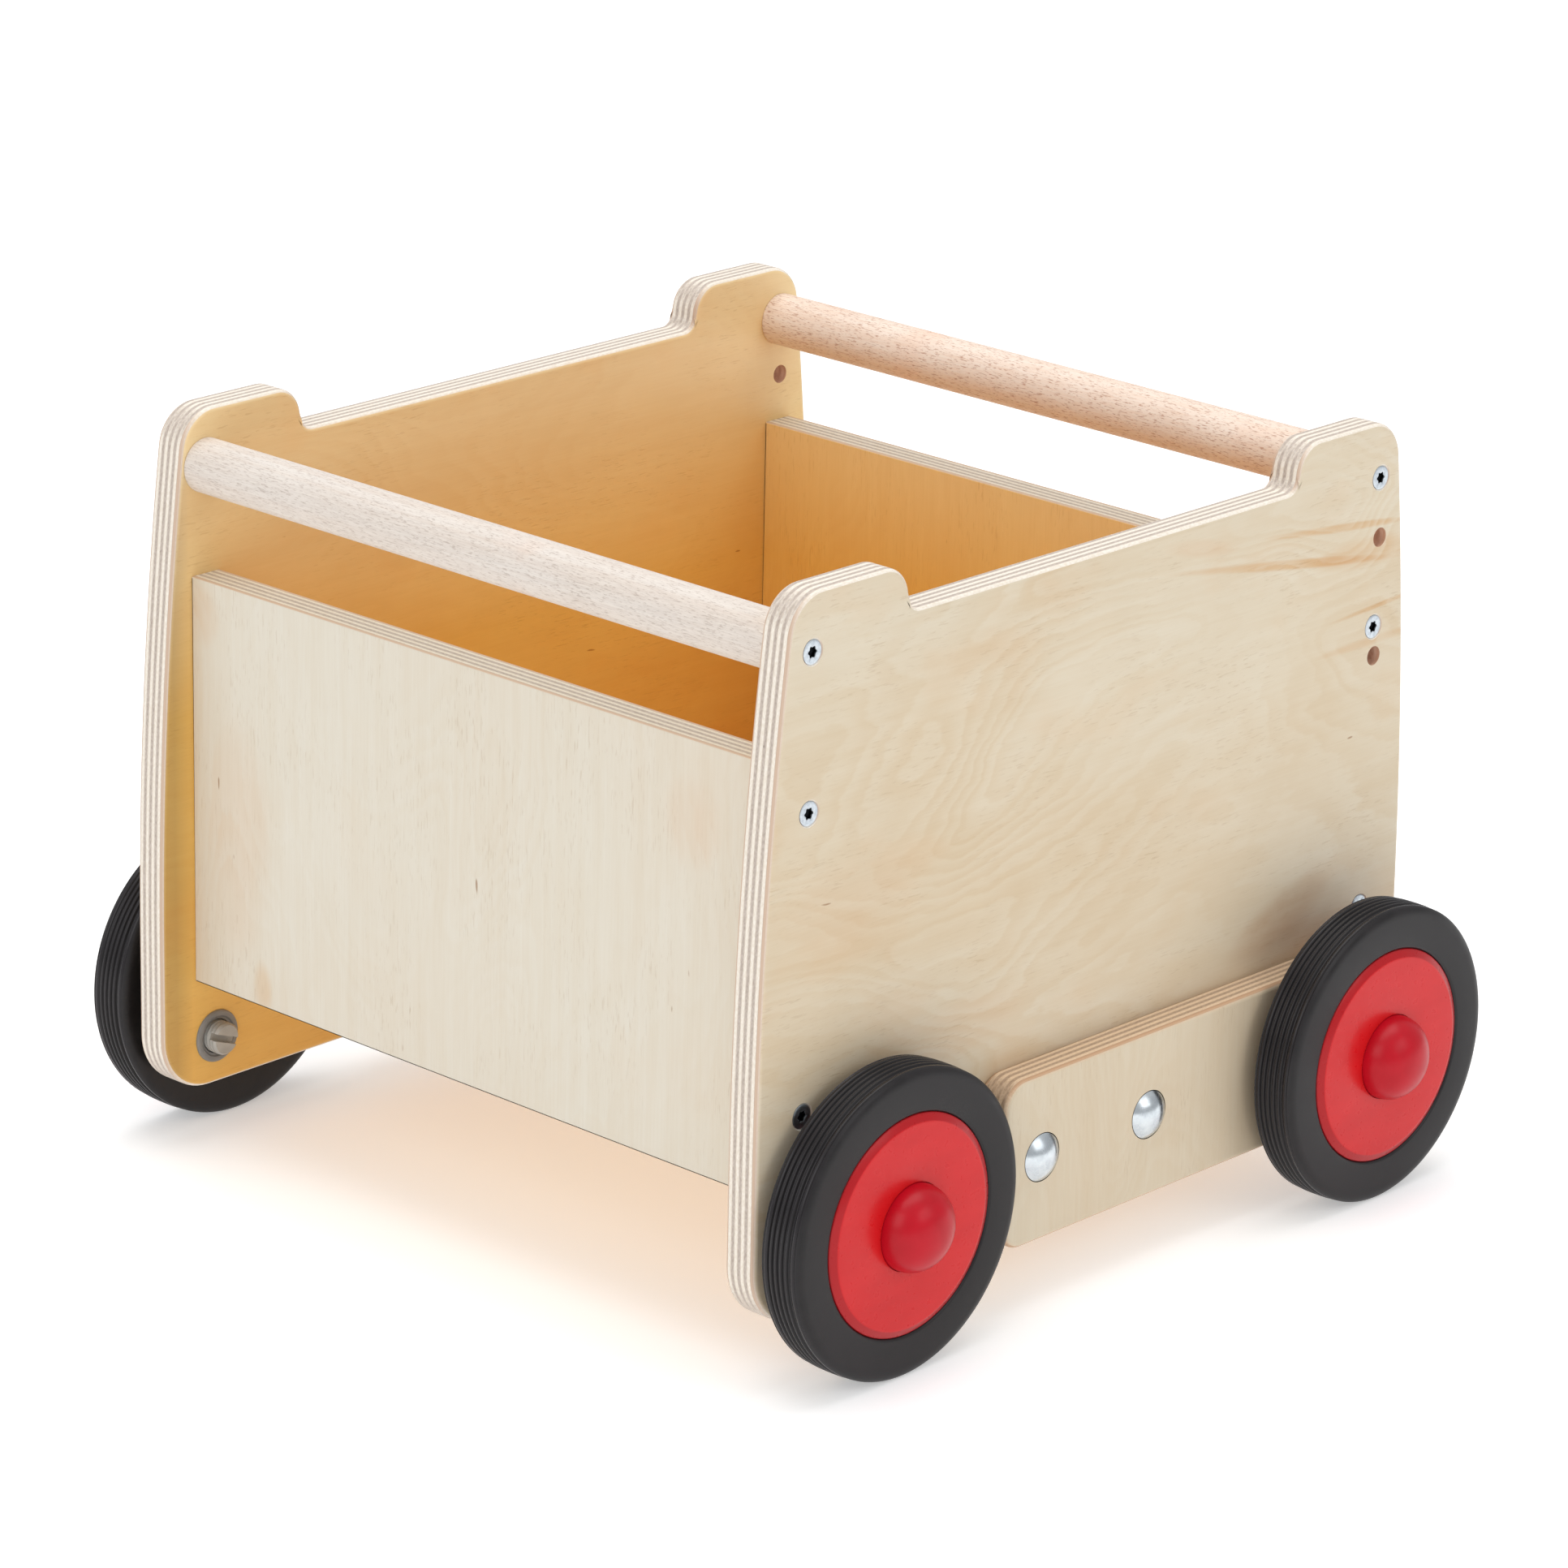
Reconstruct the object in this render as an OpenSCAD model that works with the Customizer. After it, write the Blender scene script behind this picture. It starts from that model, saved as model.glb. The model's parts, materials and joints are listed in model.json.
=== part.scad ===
// Push-along truck: an open plywood box with a hand bar at each end, carried on
// four rubber-tyred wheels that turn on stub axles. The rear axles stand on boards
// bolted to the outside of the side panels, and a slotted screw beside each front
// wheel presses a pad on the wheel disc as a brake. +X is the rear, +Y the right.

/* [Box] */
// Clear width between the side panels
box_width = 253; // [200:1:320]
// Length over the outer faces of the end panels
box_length = 278; // [250:2:330]
// Thickness of a side panel
side_thick = 12; // [11:0.5:15]
// Thickness of an end panel
end_thick = 12; // [11:0.5:15]
// Height of the end panels' lower edge above the ground
end_low = 59; // [57:0.5:62]
// Height of the end panels' upper edge above the ground
end_top = 197; // [192:1:200]
// Thickness of the floor panel
floor_thick = 9; // [6:0.5:12]
// Height of the floor's underside above the ground
floor_low = 66; // [64:0.5:68]
// Depth of the grooves that hold the floor
groove_depth = 5; // [3:0.5:6]

/* [Side panels] */
// Length of a side panel at its widest
side_length = 306; // [300:1:330]
// Height of the lower edge above the ground
side_low = 21; // [16:0.5:26]
// Height of the straight upper edge between the ears
side_top = 236.5; // [228:0.5:240]
// Height of the top of the ears
ear_top = 251.5; // [247:0.5:256]
// Radius of the lower corners
low_corner = 20; // [12:1:26]
// Radius of the long curve of each end edge
end_curve = 1337; // [1100:1:2000]
// Height at which the end edges start to curve inward
curve_start = 73; // [60:1:90]

/* [Hand bars] */
// Diameter of a hand bar
bar_diameter = 18; // [16:0.5:22]
// Height of the bars' centres above the ground
bar_height = 233; // [228:1:236]

/* [Wheels] */
// Overall diameter of a wheel
wheel_diameter = 100; // [94:1:103]
// Distance between the front and the rear axles
wheel_base = 216; // [214:1:220]
// Distance by which the wheels' middle lies behind the box's middle
wheel_shift = 2; // [0:0.5:3]
// Width of a tyre
tyre_width = 16; // [12:0.5:16]
// Diameter of a wheel disc
disc_diameter = 71.6; // [68:0.2:76]
// Diameter of an axle
axle_diameter = 8; // [7:0.5:9]
// Radial running clearance between an axle and its bush
running_gap = 0.05; // [0.02:0.01:0.1]
// Number of grooves around the tread
tread_grooves = 5; // [3:1:6]

/* [Axle boards] */
// Thickness of an axle board
board_thick = 12; // [9:0.5:15]
// Height of an axle board
board_height = 56; // [50:1:58]
// Front end of an axle board, measured from mid-length
board_front = -53.5; // [-55:0.5:-50]
// Rear end of an axle board, measured from mid-length
board_rear = 134; // [130:1:138]
// Position of the front carriage bolt along the board
bolt_front = -36; // [-40:0.5:-30]
// Position of the rear carriage bolt along the board
bolt_rear = 15; // [10:0.5:30]

/* [Push handle holes] */
// Diameter of the holes that take a push handle
handle_hole = 7; // [5:0.5:8]
// Distance between the two holes of a side
handle_spacing = 40; // [38:0.5:42]
// Height of the upper hole above the ground
handle_high = 213; // [212:0.5:214]

/* [Brake] */
// Travel of a brake pad for one full turn of its screw
brake_travel = 1.5; // [0.5:0.1:1.5]
// Diameter of a brake screw
brake_diameter = 11; // [9:0.5:12]

/* [Hidden] */
$fn = 96;

LEFT = -1;
RIGHT = 1;
FRONT = -1;
REAR = 1;

half_in = box_width / 2;
half_out = half_in + side_thick;
half_len = box_length / 2;
end_mid = half_len - end_thick / 2;
wheel_r = wheel_diameter / 2;
wheel_x = wheel_base / 2;
fit_gap = 0.05;
over = 1;

// side panel outline
half_side = side_length / 2;
ear_outer_r = 14;
ear_inner_r = 10.5;
ear_fillet_r = 5;
ear_root = 86;
curve_centre = half_side - end_curve;
ear_outer_z = ear_top - ear_outer_r;
ear_outer_x = curve_centre + sqrt(pow(end_curve - ear_outer_r, 2) - pow(ear_outer_z - curve_start, 2));
ear_inner_x = ear_root + ear_fillet_r + ear_inner_r;
ear_inner_z = ear_top - ear_inner_r;

// countersunk screws
screw_d = 4;
screw_head_d = 8;
screw_length = 45;
screw_socket = 3.4;
screw_socket_depth = 1.8;
screw_heights = [183, 87];

// push handle holes
handle_hole_offset = 0.8;

// carriage bolts
bolt_d = 6;
bolt_head_d = 16.5;
bolt_head_h = 3.3;
bolt_neck = 6;
bolt_neck_h = 4;
bolt_past_nut = 1.5;
washer_d = 14;
washer_h = 1.6;
nut_flats = 10;
nut_h = 5;
board_corner = 9;
board_mid = wheel_r;

// wheel, measured outward from the face that the axle stands on
hub_start = 4;
bush_flange_h = 1.5;
bush_flange_d = 20;
bush_d = 12;
disc_in = hub_start + bush_flange_h;
disc_thick = 16;
disc_out = disc_in + disc_thick;
tyre_out = disc_out - 1;
tyre_in = tyre_out - tyre_width;
disc_r = disc_diameter / 2;
shoulder_radial = 2.8;
shoulder_axial = 1.3;
bead_r = disc_r - 3;
bead_half = 2;
tyre_mid = (tyre_in + tyre_out) / 2;
tread_chamfer = 1.8;
sidewall_step = 3.2;
groove_w = 1.1;
groove_h = 0.9;
cap_r = 14.1;
cap_seat = 2;
cap_high = 11.5;
cap_round = 8;
cap_wall = 2.6;
bush_end = disc_out - 0.3;
axle_end = disc_out + 3.5;
axle_chamfer = 0.8;
axle_web = 2;
spacer_d = 16;
spacer_len = hub_start - 0.3;
retainer_d = 16;
retainer_h = 1;
retainer_start = disc_out;

// brake
brake_x = -half_side + 23;
brake_z = 37.6;
brake_flange_d = 18;
brake_flange_h = 1;
brake_barrel_d = brake_diameter + 3;
brake_proud = 4.2;
brake_slot_w = 2.4;
brake_slot_depth = 3;
brake_slot_turn = 20;
brake_pad_d = 10;
pad_gap = 0.5;
pad_face = disc_in - pad_gap - brake_travel;
pad_back = -1.9;
swivel_r = 2;
swivel_len = 3;

// place children standing outward on the left or the right side, at x and height z
module outward(side, x, y, z) {
    translate([x, side * y, z]) rotate([-side * 90, 0, 0]) children();
}

// distance of the face that a wheel's axle stands on
function stand_y(end) = half_out + (end == REAR ? board_thick : 0);

module at_axle(end, side) {
    outward(side, end * wheel_x + wheel_shift, stand_y(end), wheel_r) children();
}

// length of axle set into the wood, ending short of the side panel's inner face
function axle_depth(end) = stand_y(end) - half_in - axle_web;

module axle_hole(end, side) {
    at_axle(end, side) translate([0, 0, -axle_depth(end)])
        cylinder(h = axle_depth(end) + over, d = axle_diameter + 2 * fit_gap);
}

// ---- side panels ----
module ear_outline() {
    translate([ear_root, side_top - over]) square([ear_outer_x - ear_root, over + ear_fillet_r]);
    translate([ear_inner_x, side_top]) square([ear_outer_x - ear_inner_x, ear_top - side_top]);
    translate([ear_root + ear_fillet_r, side_top])
        square([half_side - ear_root - ear_fillet_r, ear_outer_z - side_top]);
    translate([ear_inner_x - ear_inner_r, side_top]) square([ear_inner_r, ear_inner_z - side_top]);
    translate([ear_inner_x, ear_inner_z]) circle(ear_inner_r);
    translate([ear_outer_x, ear_outer_z]) circle(ear_outer_r);
}

module half_outline() {
    intersection() {
        union() {
            translate([0, side_low]) square([half_side - low_corner, side_top - side_low]);
            translate([0, side_low + low_corner]) square([half_side, side_top - side_low - low_corner]);
            translate([half_side - low_corner, side_low + low_corner]) circle(low_corner);
            difference() {
                ear_outline();
                translate([ear_root, side_top + ear_fillet_r]) circle(ear_fillet_r);
            }
        }
        union() {
            translate([0, 0]) square([half_side, curve_start]);
            translate([curve_centre, curve_start]) circle(end_curve, $fn = 720);
        }
        square([half_side, ear_top + over]);
    }
}

module side_outline() {
    half_outline();
    mirror([1, 0]) half_outline();
}

// shape of a countersunk screw seen from its head, grown by gap for its hole
module screw_shape(gap) {
    head_h = (screw_head_d - screw_d) / 2;
    translate([0, 0, -head_h]) cylinder(h = head_h, r1 = screw_d / 2 + gap, r2 = screw_head_d / 2 + gap);
    translate([0, 0, -screw_length]) cylinder(h = screw_length, r = screw_d / 2 + gap);
}

module screw() {
    difference() {
        screw_shape(0);
        translate([0, 0, -screw_socket_depth])
            cylinder(h = screw_socket_depth + over, d = screw_socket, $fn = 6);
    }
}

module bar_screw_places(side) {
    for (end = [FRONT, REAR]) outward(side, end * end_mid, half_out, bar_height) children();
}

module end_screw_places(side) {
    for (end = [FRONT, REAR], z = screw_heights) outward(side, end * end_mid, half_out, z) children();
}

module bolt_places(side) {
    for (x = [bolt_front, bolt_rear]) outward(side, x, half_out + board_thick, board_mid) children();
}

module handle_holes(side) {
    for (z = [handle_high, handle_high - handle_spacing])
        outward(side, end_mid + handle_hole_offset, half_in - over, z)
            cylinder(h = side_thick + 2 * over, d = handle_hole);
}

module side_panel(side) {
    color("burlywood") difference() {
        translate([0, side * half_in + (side == LEFT ? 0 : side_thick), 0])
            rotate([90, 0, 0]) linear_extrude(side_thick) side_outline();
        // groove for the floor
        translate([-half_len + end_thick - groove_depth, side * half_in - groove_depth, floor_low - fit_gap])
            cube([box_length - 2 * end_thick + 2 * groove_depth, 2 * groove_depth,
                  floor_thick + 2 * fit_gap]);
        bar_screw_places(side) screw_shape(fit_gap);
        end_screw_places(side) screw_shape(fit_gap);
        handle_holes(side);
        for (end = [FRONT, REAR]) axle_hole(end, side);
        bolt_places(side) translate([0, 0, -side_thick - board_thick - over])
            cylinder(h = side_thick + board_thick + over, d = bolt_d + 2 * fit_gap);
        outward(side, brake_x, half_in - over, brake_z)
            cylinder(h = side_thick + 2 * over, d = brake_barrel_d + 2 * fit_gap);
    }
}

// ---- box ends, floor and hand bars ----
module end_panel(end) {
    color("wheat") difference() {
        translate([end * end_mid - end_thick / 2, -half_in, end_low])
            cube([end_thick, box_width, end_top - end_low]);
        translate([end * (half_len - end_thick) - groove_depth, -half_in - over, floor_low - fit_gap])
            cube([2 * groove_depth, box_width + 2 * over, floor_thick + 2 * fit_gap]);
        for (side = [LEFT, RIGHT]) end_screw_places(side) screw_shape(fit_gap);
    }
}

module floor_panel() {
    reach_x = half_len - end_thick + groove_depth - fit_gap;
    reach_y = half_in + groove_depth - fit_gap;
    color("tan") translate([-reach_x, -reach_y, floor_low])
        cube([2 * reach_x, 2 * reach_y, floor_thick]);
}

module handle_bar(end) {
    color("peachpuff") difference() {
        translate([end * end_mid, -half_in, bar_height])
            rotate([-90, 0, 0]) cylinder(h = box_width, d = bar_diameter);
        for (side = [LEFT, RIGHT]) bar_screw_places(side) screw_shape(fit_gap);
    }
}

// ---- axle boards ----
module board_outline() {
    w = board_rear - board_front;
    h = board_height;
    c = board_corner;
    translate([c, 0]) square([w - 2 * c, h]);
    translate([0, c]) square([w, h - 2 * c]);
    for (x = [c, w - c], z = [c, h - c]) translate([x, z]) circle(c);
}

module axle_board(side) {
    color("navajowhite") difference() {
        translate([board_front, side * half_out + (side == LEFT ? 0 : board_thick),
                   board_mid - board_height / 2])
            rotate([90, 0, 0]) linear_extrude(board_thick) board_outline();
        bolt_places(side) {
            translate([0, 0, -board_thick - over])
                cylinder(h = board_thick + 2 * over, d = bolt_d + 2 * fit_gap);
            translate([-bolt_neck / 2 - fit_gap, -bolt_neck / 2 - fit_gap, -bolt_neck_h - fit_gap])
                cube([bolt_neck + 2 * fit_gap, bolt_neck + 2 * fit_gap, bolt_neck_h + over]);
        }
        axle_hole(REAR, side);
    }
}

// ---- fasteners ----
module bar_screws() {
    color("silver") for (side = [LEFT, RIGHT]) bar_screw_places(side) screw();
}

module end_panel_screws() {
    color("silver") for (side = [LEFT, RIGHT]) end_screw_places(side) screw();
}

module carriage_bolt() {
    ball_r = (pow(bolt_head_d / 2, 2) + pow(bolt_head_h, 2)) / (2 * bolt_head_h);
    grip = board_thick + side_thick + washer_h + nut_h + bolt_past_nut;
    intersection() {
        translate([0, 0, bolt_head_h - ball_r]) sphere(ball_r);
        cylinder(h = bolt_head_h + over, d = bolt_head_d);
    }
    translate([-bolt_neck / 2, -bolt_neck / 2, -bolt_neck_h]) cube([bolt_neck, bolt_neck, bolt_neck_h]);
    translate([0, 0, -grip]) cylinder(h = grip, d = bolt_d);
}

module carriage_bolts() {
    color("gainsboro") for (side = [LEFT, RIGHT]) bolt_places(side) carriage_bolt();
}

module carriage_washers() {
    color("silver") for (side = [LEFT, RIGHT]) bolt_places(side)
        translate([0, 0, -board_thick - side_thick - washer_h]) difference() {
            cylinder(h = washer_h, d = washer_d);
            translate([0, 0, -over]) cylinder(h = washer_h + 2 * over, d = bolt_d + 2 * fit_gap);
        }
}

module carriage_nuts() {
    color("silver") for (side = [LEFT, RIGHT]) bolt_places(side)
        translate([0, 0, -board_thick - side_thick - washer_h - nut_h]) difference() {
            cylinder(h = nut_h, r = nut_flats / sqrt(3), $fn = 6);
            translate([0, 0, -over]) cylinder(h = nut_h + 2 * over, d = bolt_d + 2 * fit_gap);
        }
}

// ---- axles ----
module axle(end, side) {
    depth = axle_depth(end);
    color("lightsteelblue") at_axle(end, side) {
        translate([0, 0, -depth]) cylinder(h = depth + axle_end - axle_chamfer, d = axle_diameter);
        translate([0, 0, axle_end - axle_chamfer])
            cylinder(h = axle_chamfer, d1 = axle_diameter, d2 = axle_diameter - 2 * axle_chamfer);
    }
}

module ring_on_axle(h, d) {
    difference() {
        cylinder(h = h, d = d);
        translate([0, 0, -over]) cylinder(h = h + 2 * over, d = axle_diameter + 2 * fit_gap);
    }
}

module axle_spacers() {
    color("dimgray") for (end = [FRONT, REAR], side = [LEFT, RIGHT])
        at_axle(end, side) ring_on_axle(spacer_len, spacer_d);
}

module axle_retainers() {
    color("silver") for (end = [FRONT, REAR], side = [LEFT, RIGHT])
        at_axle(end, side) translate([0, 0, retainer_start]) ring_on_axle(retainer_h, retainer_d);
}

// ---- wheels ----
module tyre(end, side) {
    color("dimgray") at_axle(end, side) rotate_extrude(convexity = 8) difference() {
        polygon([[disc_r, tyre_in], [wheel_r - sidewall_step, tyre_in], [wheel_r, tyre_in + tread_chamfer],
                 [wheel_r, tyre_out - tread_chamfer], [wheel_r - sidewall_step, tyre_out],
                 [disc_r, tyre_out], [disc_r, tyre_mid + bead_half - fit_gap],
                 [bead_r + fit_gap, tyre_mid + bead_half - fit_gap],
                 [bead_r + fit_gap, tyre_mid - bead_half + fit_gap],
                 [disc_r, tyre_mid - bead_half + fit_gap]]);
        for (k = [1 : tread_grooves])
            translate([wheel_r - groove_h, tyre_in + tread_chamfer - groove_w / 2
                       + k * (tyre_width - 2 * tread_chamfer) / (tread_grooves + 1)])
                square([groove_h + over, groove_w]);
    }
}

module wheel_disc(end, side) {
    color("red") at_axle(end, side) rotate_extrude() difference() {
        polygon([[bush_d / 2 + fit_gap, disc_in], [disc_r, disc_in], [disc_r, disc_out - shoulder_axial],
                 [disc_r - shoulder_radial, disc_out], [bush_d / 2 + fit_gap, disc_out]]);
        translate([bead_r, tyre_mid - bead_half]) square([disc_r, 2 * bead_half]);
        translate([0, disc_out - cap_seat]) square([cap_r + fit_gap, cap_seat + over]);
    }
}

module wheel_bush(end, side) {
    color("whitesmoke") at_axle(end, side) difference() {
        union() {
            translate([0, 0, hub_start]) cylinder(h = bush_flange_h, d = bush_flange_d);
            translate([0, 0, hub_start]) cylinder(h = bush_end - hub_start, d = bush_d);
        }
        cylinder(h = disc_out + over, r = axle_diameter / 2 + running_gap);
    }
}

// half profile of a round-shouldered cup, closed at the top
module cup_profile(r, h, round_r) {
    square([r, h - round_r]);
    square([r - round_r, h]);
    translate([r - round_r, h - round_r]) circle(round_r);
}

module hub_cap(end, side) {
    h = cap_seat + cap_high;
    color("crimson") at_axle(end, side) translate([0, 0, disc_out - cap_seat])
        rotate_extrude() intersection() {
            difference() {
                cup_profile(cap_r, h, cap_round);
                translate([0, -over]) cup_profile(cap_r - cap_wall, h - cap_wall + over, cap_round - 2);
            }
            square([cap_r, h]);
        }
}

// ---- brake ----
module at_brake(side) {
    outward(side, brake_x, half_out, brake_z) children();
}

module brake_bush(side) {
    color("darkgray") at_brake(side) difference() {
        union() {
            translate([0, 0, -side_thick]) cylinder(h = side_thick, d = brake_barrel_d);
            translate([0, 0, -side_thick - brake_flange_h]) cylinder(h = brake_flange_h, d = brake_flange_d);
        }
        translate([0, 0, -side_thick - brake_flange_h - over])
            cylinder(h = side_thick + brake_flange_h + 2 * over, r = brake_diameter / 2 + running_gap);
    }
}

module brake_screw(side) {
    back = side_thick + brake_flange_h + brake_proud;
    color("gray") at_brake(side) {
        difference() {
            translate([0, 0, -back]) cylinder(h = back + pad_back - fit_gap, d = brake_diameter);
            rotate([0, 0, side * brake_slot_turn])
                translate([-brake_diameter, -brake_slot_w / 2, -back - over])
                    cube([2 * brake_diameter, brake_slot_w, brake_slot_depth + over]);
        }
        translate([0, 0, pad_back - fit_gap - over]) cylinder(h = swivel_len + over, r = swivel_r);
    }
}

module brake_pad(side) {
    color("slategray") at_brake(side) difference() {
        translate([0, 0, pad_back]) cylinder(h = pad_face - pad_back, d = brake_pad_d);
        translate([0, 0, pad_back - over])
            cylinder(h = swivel_len + over + fit_gap, r = swivel_r + running_gap);
    }
}

side_panel(LEFT);  // side_panel_left
side_panel(RIGHT);  // side_panel_right
end_panel(FRONT);  // end_panel_front
end_panel(REAR);  // end_panel_rear
floor_panel();
handle_bar(FRONT);  // handle_bar_front
handle_bar(REAR);  // handle_bar_rear
axle_board(LEFT);  // axle_board_left
axle_board(RIGHT);  // axle_board_right
bar_screws();
end_panel_screws();
carriage_bolts();
carriage_washers();
carriage_nuts();
axle(FRONT, LEFT);  // axle_front_left
axle(FRONT, RIGHT);  // axle_front_right
axle(REAR, LEFT);  // axle_rear_left
axle(REAR, RIGHT);  // axle_rear_right
axle_spacers();
axle_retainers();
brake_bush(LEFT);  // brake_bush_left
brake_bush(RIGHT);  // brake_bush_right
brake_screw(LEFT);  // brake_screw_left
brake_screw(RIGHT);  // brake_screw_right
brake_pad(LEFT);  // brake_pad_left
brake_pad(RIGHT);  // brake_pad_right
tyre(FRONT, LEFT);  // tyre_front_left
tyre(FRONT, RIGHT);  // tyre_front_right
tyre(REAR, LEFT);  // tyre_rear_left
tyre(REAR, RIGHT);  // tyre_rear_right
wheel_disc(FRONT, LEFT);  // wheel_disc_front_left
wheel_disc(FRONT, RIGHT);  // wheel_disc_front_right
wheel_disc(REAR, LEFT);  // wheel_disc_rear_left
wheel_disc(REAR, RIGHT);  // wheel_disc_rear_right
wheel_bush(FRONT, LEFT);  // wheel_bush_front_left
wheel_bush(FRONT, RIGHT);  // wheel_bush_front_right
wheel_bush(REAR, LEFT);  // wheel_bush_rear_left
wheel_bush(REAR, RIGHT);  // wheel_bush_rear_right
hub_cap(FRONT, LEFT);  // hub_cap_front_left
hub_cap(FRONT, RIGHT);  // hub_cap_front_right
hub_cap(REAR, LEFT);  // hub_cap_rear_left
hub_cap(REAR, RIGHT);  // hub_cap_rear_right
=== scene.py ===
"""Looks for the push-along truck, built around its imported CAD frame. Lengths here are in metres."""
import json
import math

import bmesh
import bpy
from mathutils import Matrix, Vector
from mathutils.geometry import tessellate_polygon


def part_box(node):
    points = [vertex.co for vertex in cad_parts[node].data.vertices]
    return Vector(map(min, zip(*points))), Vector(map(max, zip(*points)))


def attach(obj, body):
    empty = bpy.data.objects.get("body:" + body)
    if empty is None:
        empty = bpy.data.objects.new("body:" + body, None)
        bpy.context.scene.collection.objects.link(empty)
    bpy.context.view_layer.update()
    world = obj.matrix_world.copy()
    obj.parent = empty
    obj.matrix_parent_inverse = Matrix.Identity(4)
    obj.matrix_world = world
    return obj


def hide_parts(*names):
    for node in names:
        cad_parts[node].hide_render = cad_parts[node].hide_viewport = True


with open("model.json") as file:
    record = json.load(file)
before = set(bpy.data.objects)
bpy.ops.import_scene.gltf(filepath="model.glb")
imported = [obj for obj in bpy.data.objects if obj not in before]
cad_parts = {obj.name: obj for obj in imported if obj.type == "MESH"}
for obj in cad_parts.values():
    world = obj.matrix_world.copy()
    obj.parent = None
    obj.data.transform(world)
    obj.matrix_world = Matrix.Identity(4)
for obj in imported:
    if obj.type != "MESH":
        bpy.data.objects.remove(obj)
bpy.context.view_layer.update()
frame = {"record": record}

MM = 0.001
AXLE_WAY = 1  # a wheel's axle runs along its object's Y
SIDES = {"left": -1, "right": 1}
ENDS = {"front": -1, "rear": 1}


# ---------------------------------------------------------------- shader helpers
class Shader:
    """A node material with short calls for the nodes used here."""

    def __init__(self, name):
        self.mat = bpy.data.materials.new(name)
        self.mat.use_nodes = True
        self.tree = self.mat.node_tree
        self.tree.nodes.clear()
        self.out = self.tree.nodes.new("ShaderNodeOutputMaterial")
        self.bsdf = self.tree.nodes.new("ShaderNodeBsdfPrincipled")
        self.tree.links.new(self.bsdf.outputs[0], self.out.inputs[0])

    def put(self, socket, value):
        if isinstance(value, bpy.types.NodeSocket):
            self.tree.links.new(value, socket)
        elif value is not None:
            socket.default_value = value

    def node(self, kind, sockets=(), **props):
        n = self.tree.nodes.new(kind)
        for key, value in props.items():
            setattr(n, key, value)
        for key, value in dict(sockets).items():
            self.put(n.inputs[key], value)
        return n

    def math(self, op, a, b=None):
        n = self.node("ShaderNodeMath", operation=op)
        self.put(n.inputs[0], a)
        self.put(n.inputs[1], b)
        return n.outputs[0]

    def times(self, a, b):
        return self.math("MULTIPLY", a, b)

    def plus(self, a, b):
        return self.math("ADD", a, b)

    def minus(self, a, b):
        return self.math("SUBTRACT", a, b)

    def vec(self, x, y, z):
        return self.node("ShaderNodeCombineXYZ", {0: x, 1: y, 2: z}).outputs[0]

    def stretch(self, parts, scales):
        """A vector whose parts are each scaled by a number."""
        return self.vec(*(self.times(part, scale) for part, scale in zip(parts, scales)))

    def place(self):
        """Object coordinates, which are the row frame's, split in x, y and z."""
        coord = self.node("ShaderNodeTexCoord").outputs["Object"]
        return self.node("ShaderNodeSeparateXYZ", {0: coord}).outputs[:3]

    def noise(self, vector, scale=1.0, detail=2.0, rough=0.5, distort=0.0):
        n = self.node("ShaderNodeTexNoise", {"Vector": vector, "Scale": scale, "Detail": detail,
                                             "Roughness": rough, "Distortion": distort})
        return n.outputs["Fac"]

    def span(self, value, low, high, to_low=0.0, to_high=1.0, smooth=False):
        kind = "SMOOTHSTEP" if smooth else "LINEAR"
        n = self.node("ShaderNodeMapRange", interpolation_type=kind, clamp=True)
        for i, v in enumerate((value, low, high, to_low, to_high)):
            self.put(n.inputs[i], v)
        return n.outputs[0]

    def mix(self, factor, a, b, blend="MIX"):
        n = self.node("ShaderNodeMix", data_type="RGBA", blend_type=blend)
        self.put(n.inputs[0], factor)
        self.put(n.inputs[6], a if isinstance(a, bpy.types.NodeSocket) else (*a, 1.0))
        self.put(n.inputs[7], b if isinstance(b, bpy.types.NodeSocket) else (*b, 1.0))
        return n.outputs[2]

    def mixf(self, factor, a, b):
        n = self.node("ShaderNodeMix", data_type="FLOAT")
        for i, v in enumerate((factor, a, b)):
            self.put(n.inputs[i if i == 0 else i + 1], v)
        return n.outputs[0]

    def normal(self):
        """How squarely the surface faces along the object's X, Y and Z, each 0 to 1."""
        normal = self.node("ShaderNodeNewGeometry").outputs["True Normal"]
        local = self.node("ShaderNodeVectorTransform", {0: normal}, vector_type="NORMAL",
                          convert_from="WORLD", convert_to="OBJECT").outputs[0]
        parts = self.node("ShaderNodeSeparateXYZ", {0: local}).outputs
        return [self.math("ABSOLUTE", part) for part in parts]

    def bump(self, height, strength, distance):
        n = self.node("ShaderNodeBump", {"Height": height, "Strength": strength, "Distance": distance})
        self.put(self.bsdf.inputs["Normal"], n.outputs[0])

    def darker(self, color, amount, tint):
        """Multiplies the colour by the tint where amount is 1."""
        return self.mix(amount, color, self.mix(1.0, color, tint, "MULTIPLY"))

    def set(self, **sockets):
        for key, value in sockets.items():
            self.put(self.bsdf.inputs[key.replace("_", " ")], value)


# the lacquer-yellowed veneer inside the box, and a paler colour painted towards its top edge as painted
# light, where more light reaches in
INNER = (0.828, 0.516, 0.135)
INNER_PAINTED_LIGHT = (0.902, 0.722, 0.427)
SKIN = 0.0004  # how deep the yellowed veneer reaches
PLIES = 9


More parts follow.
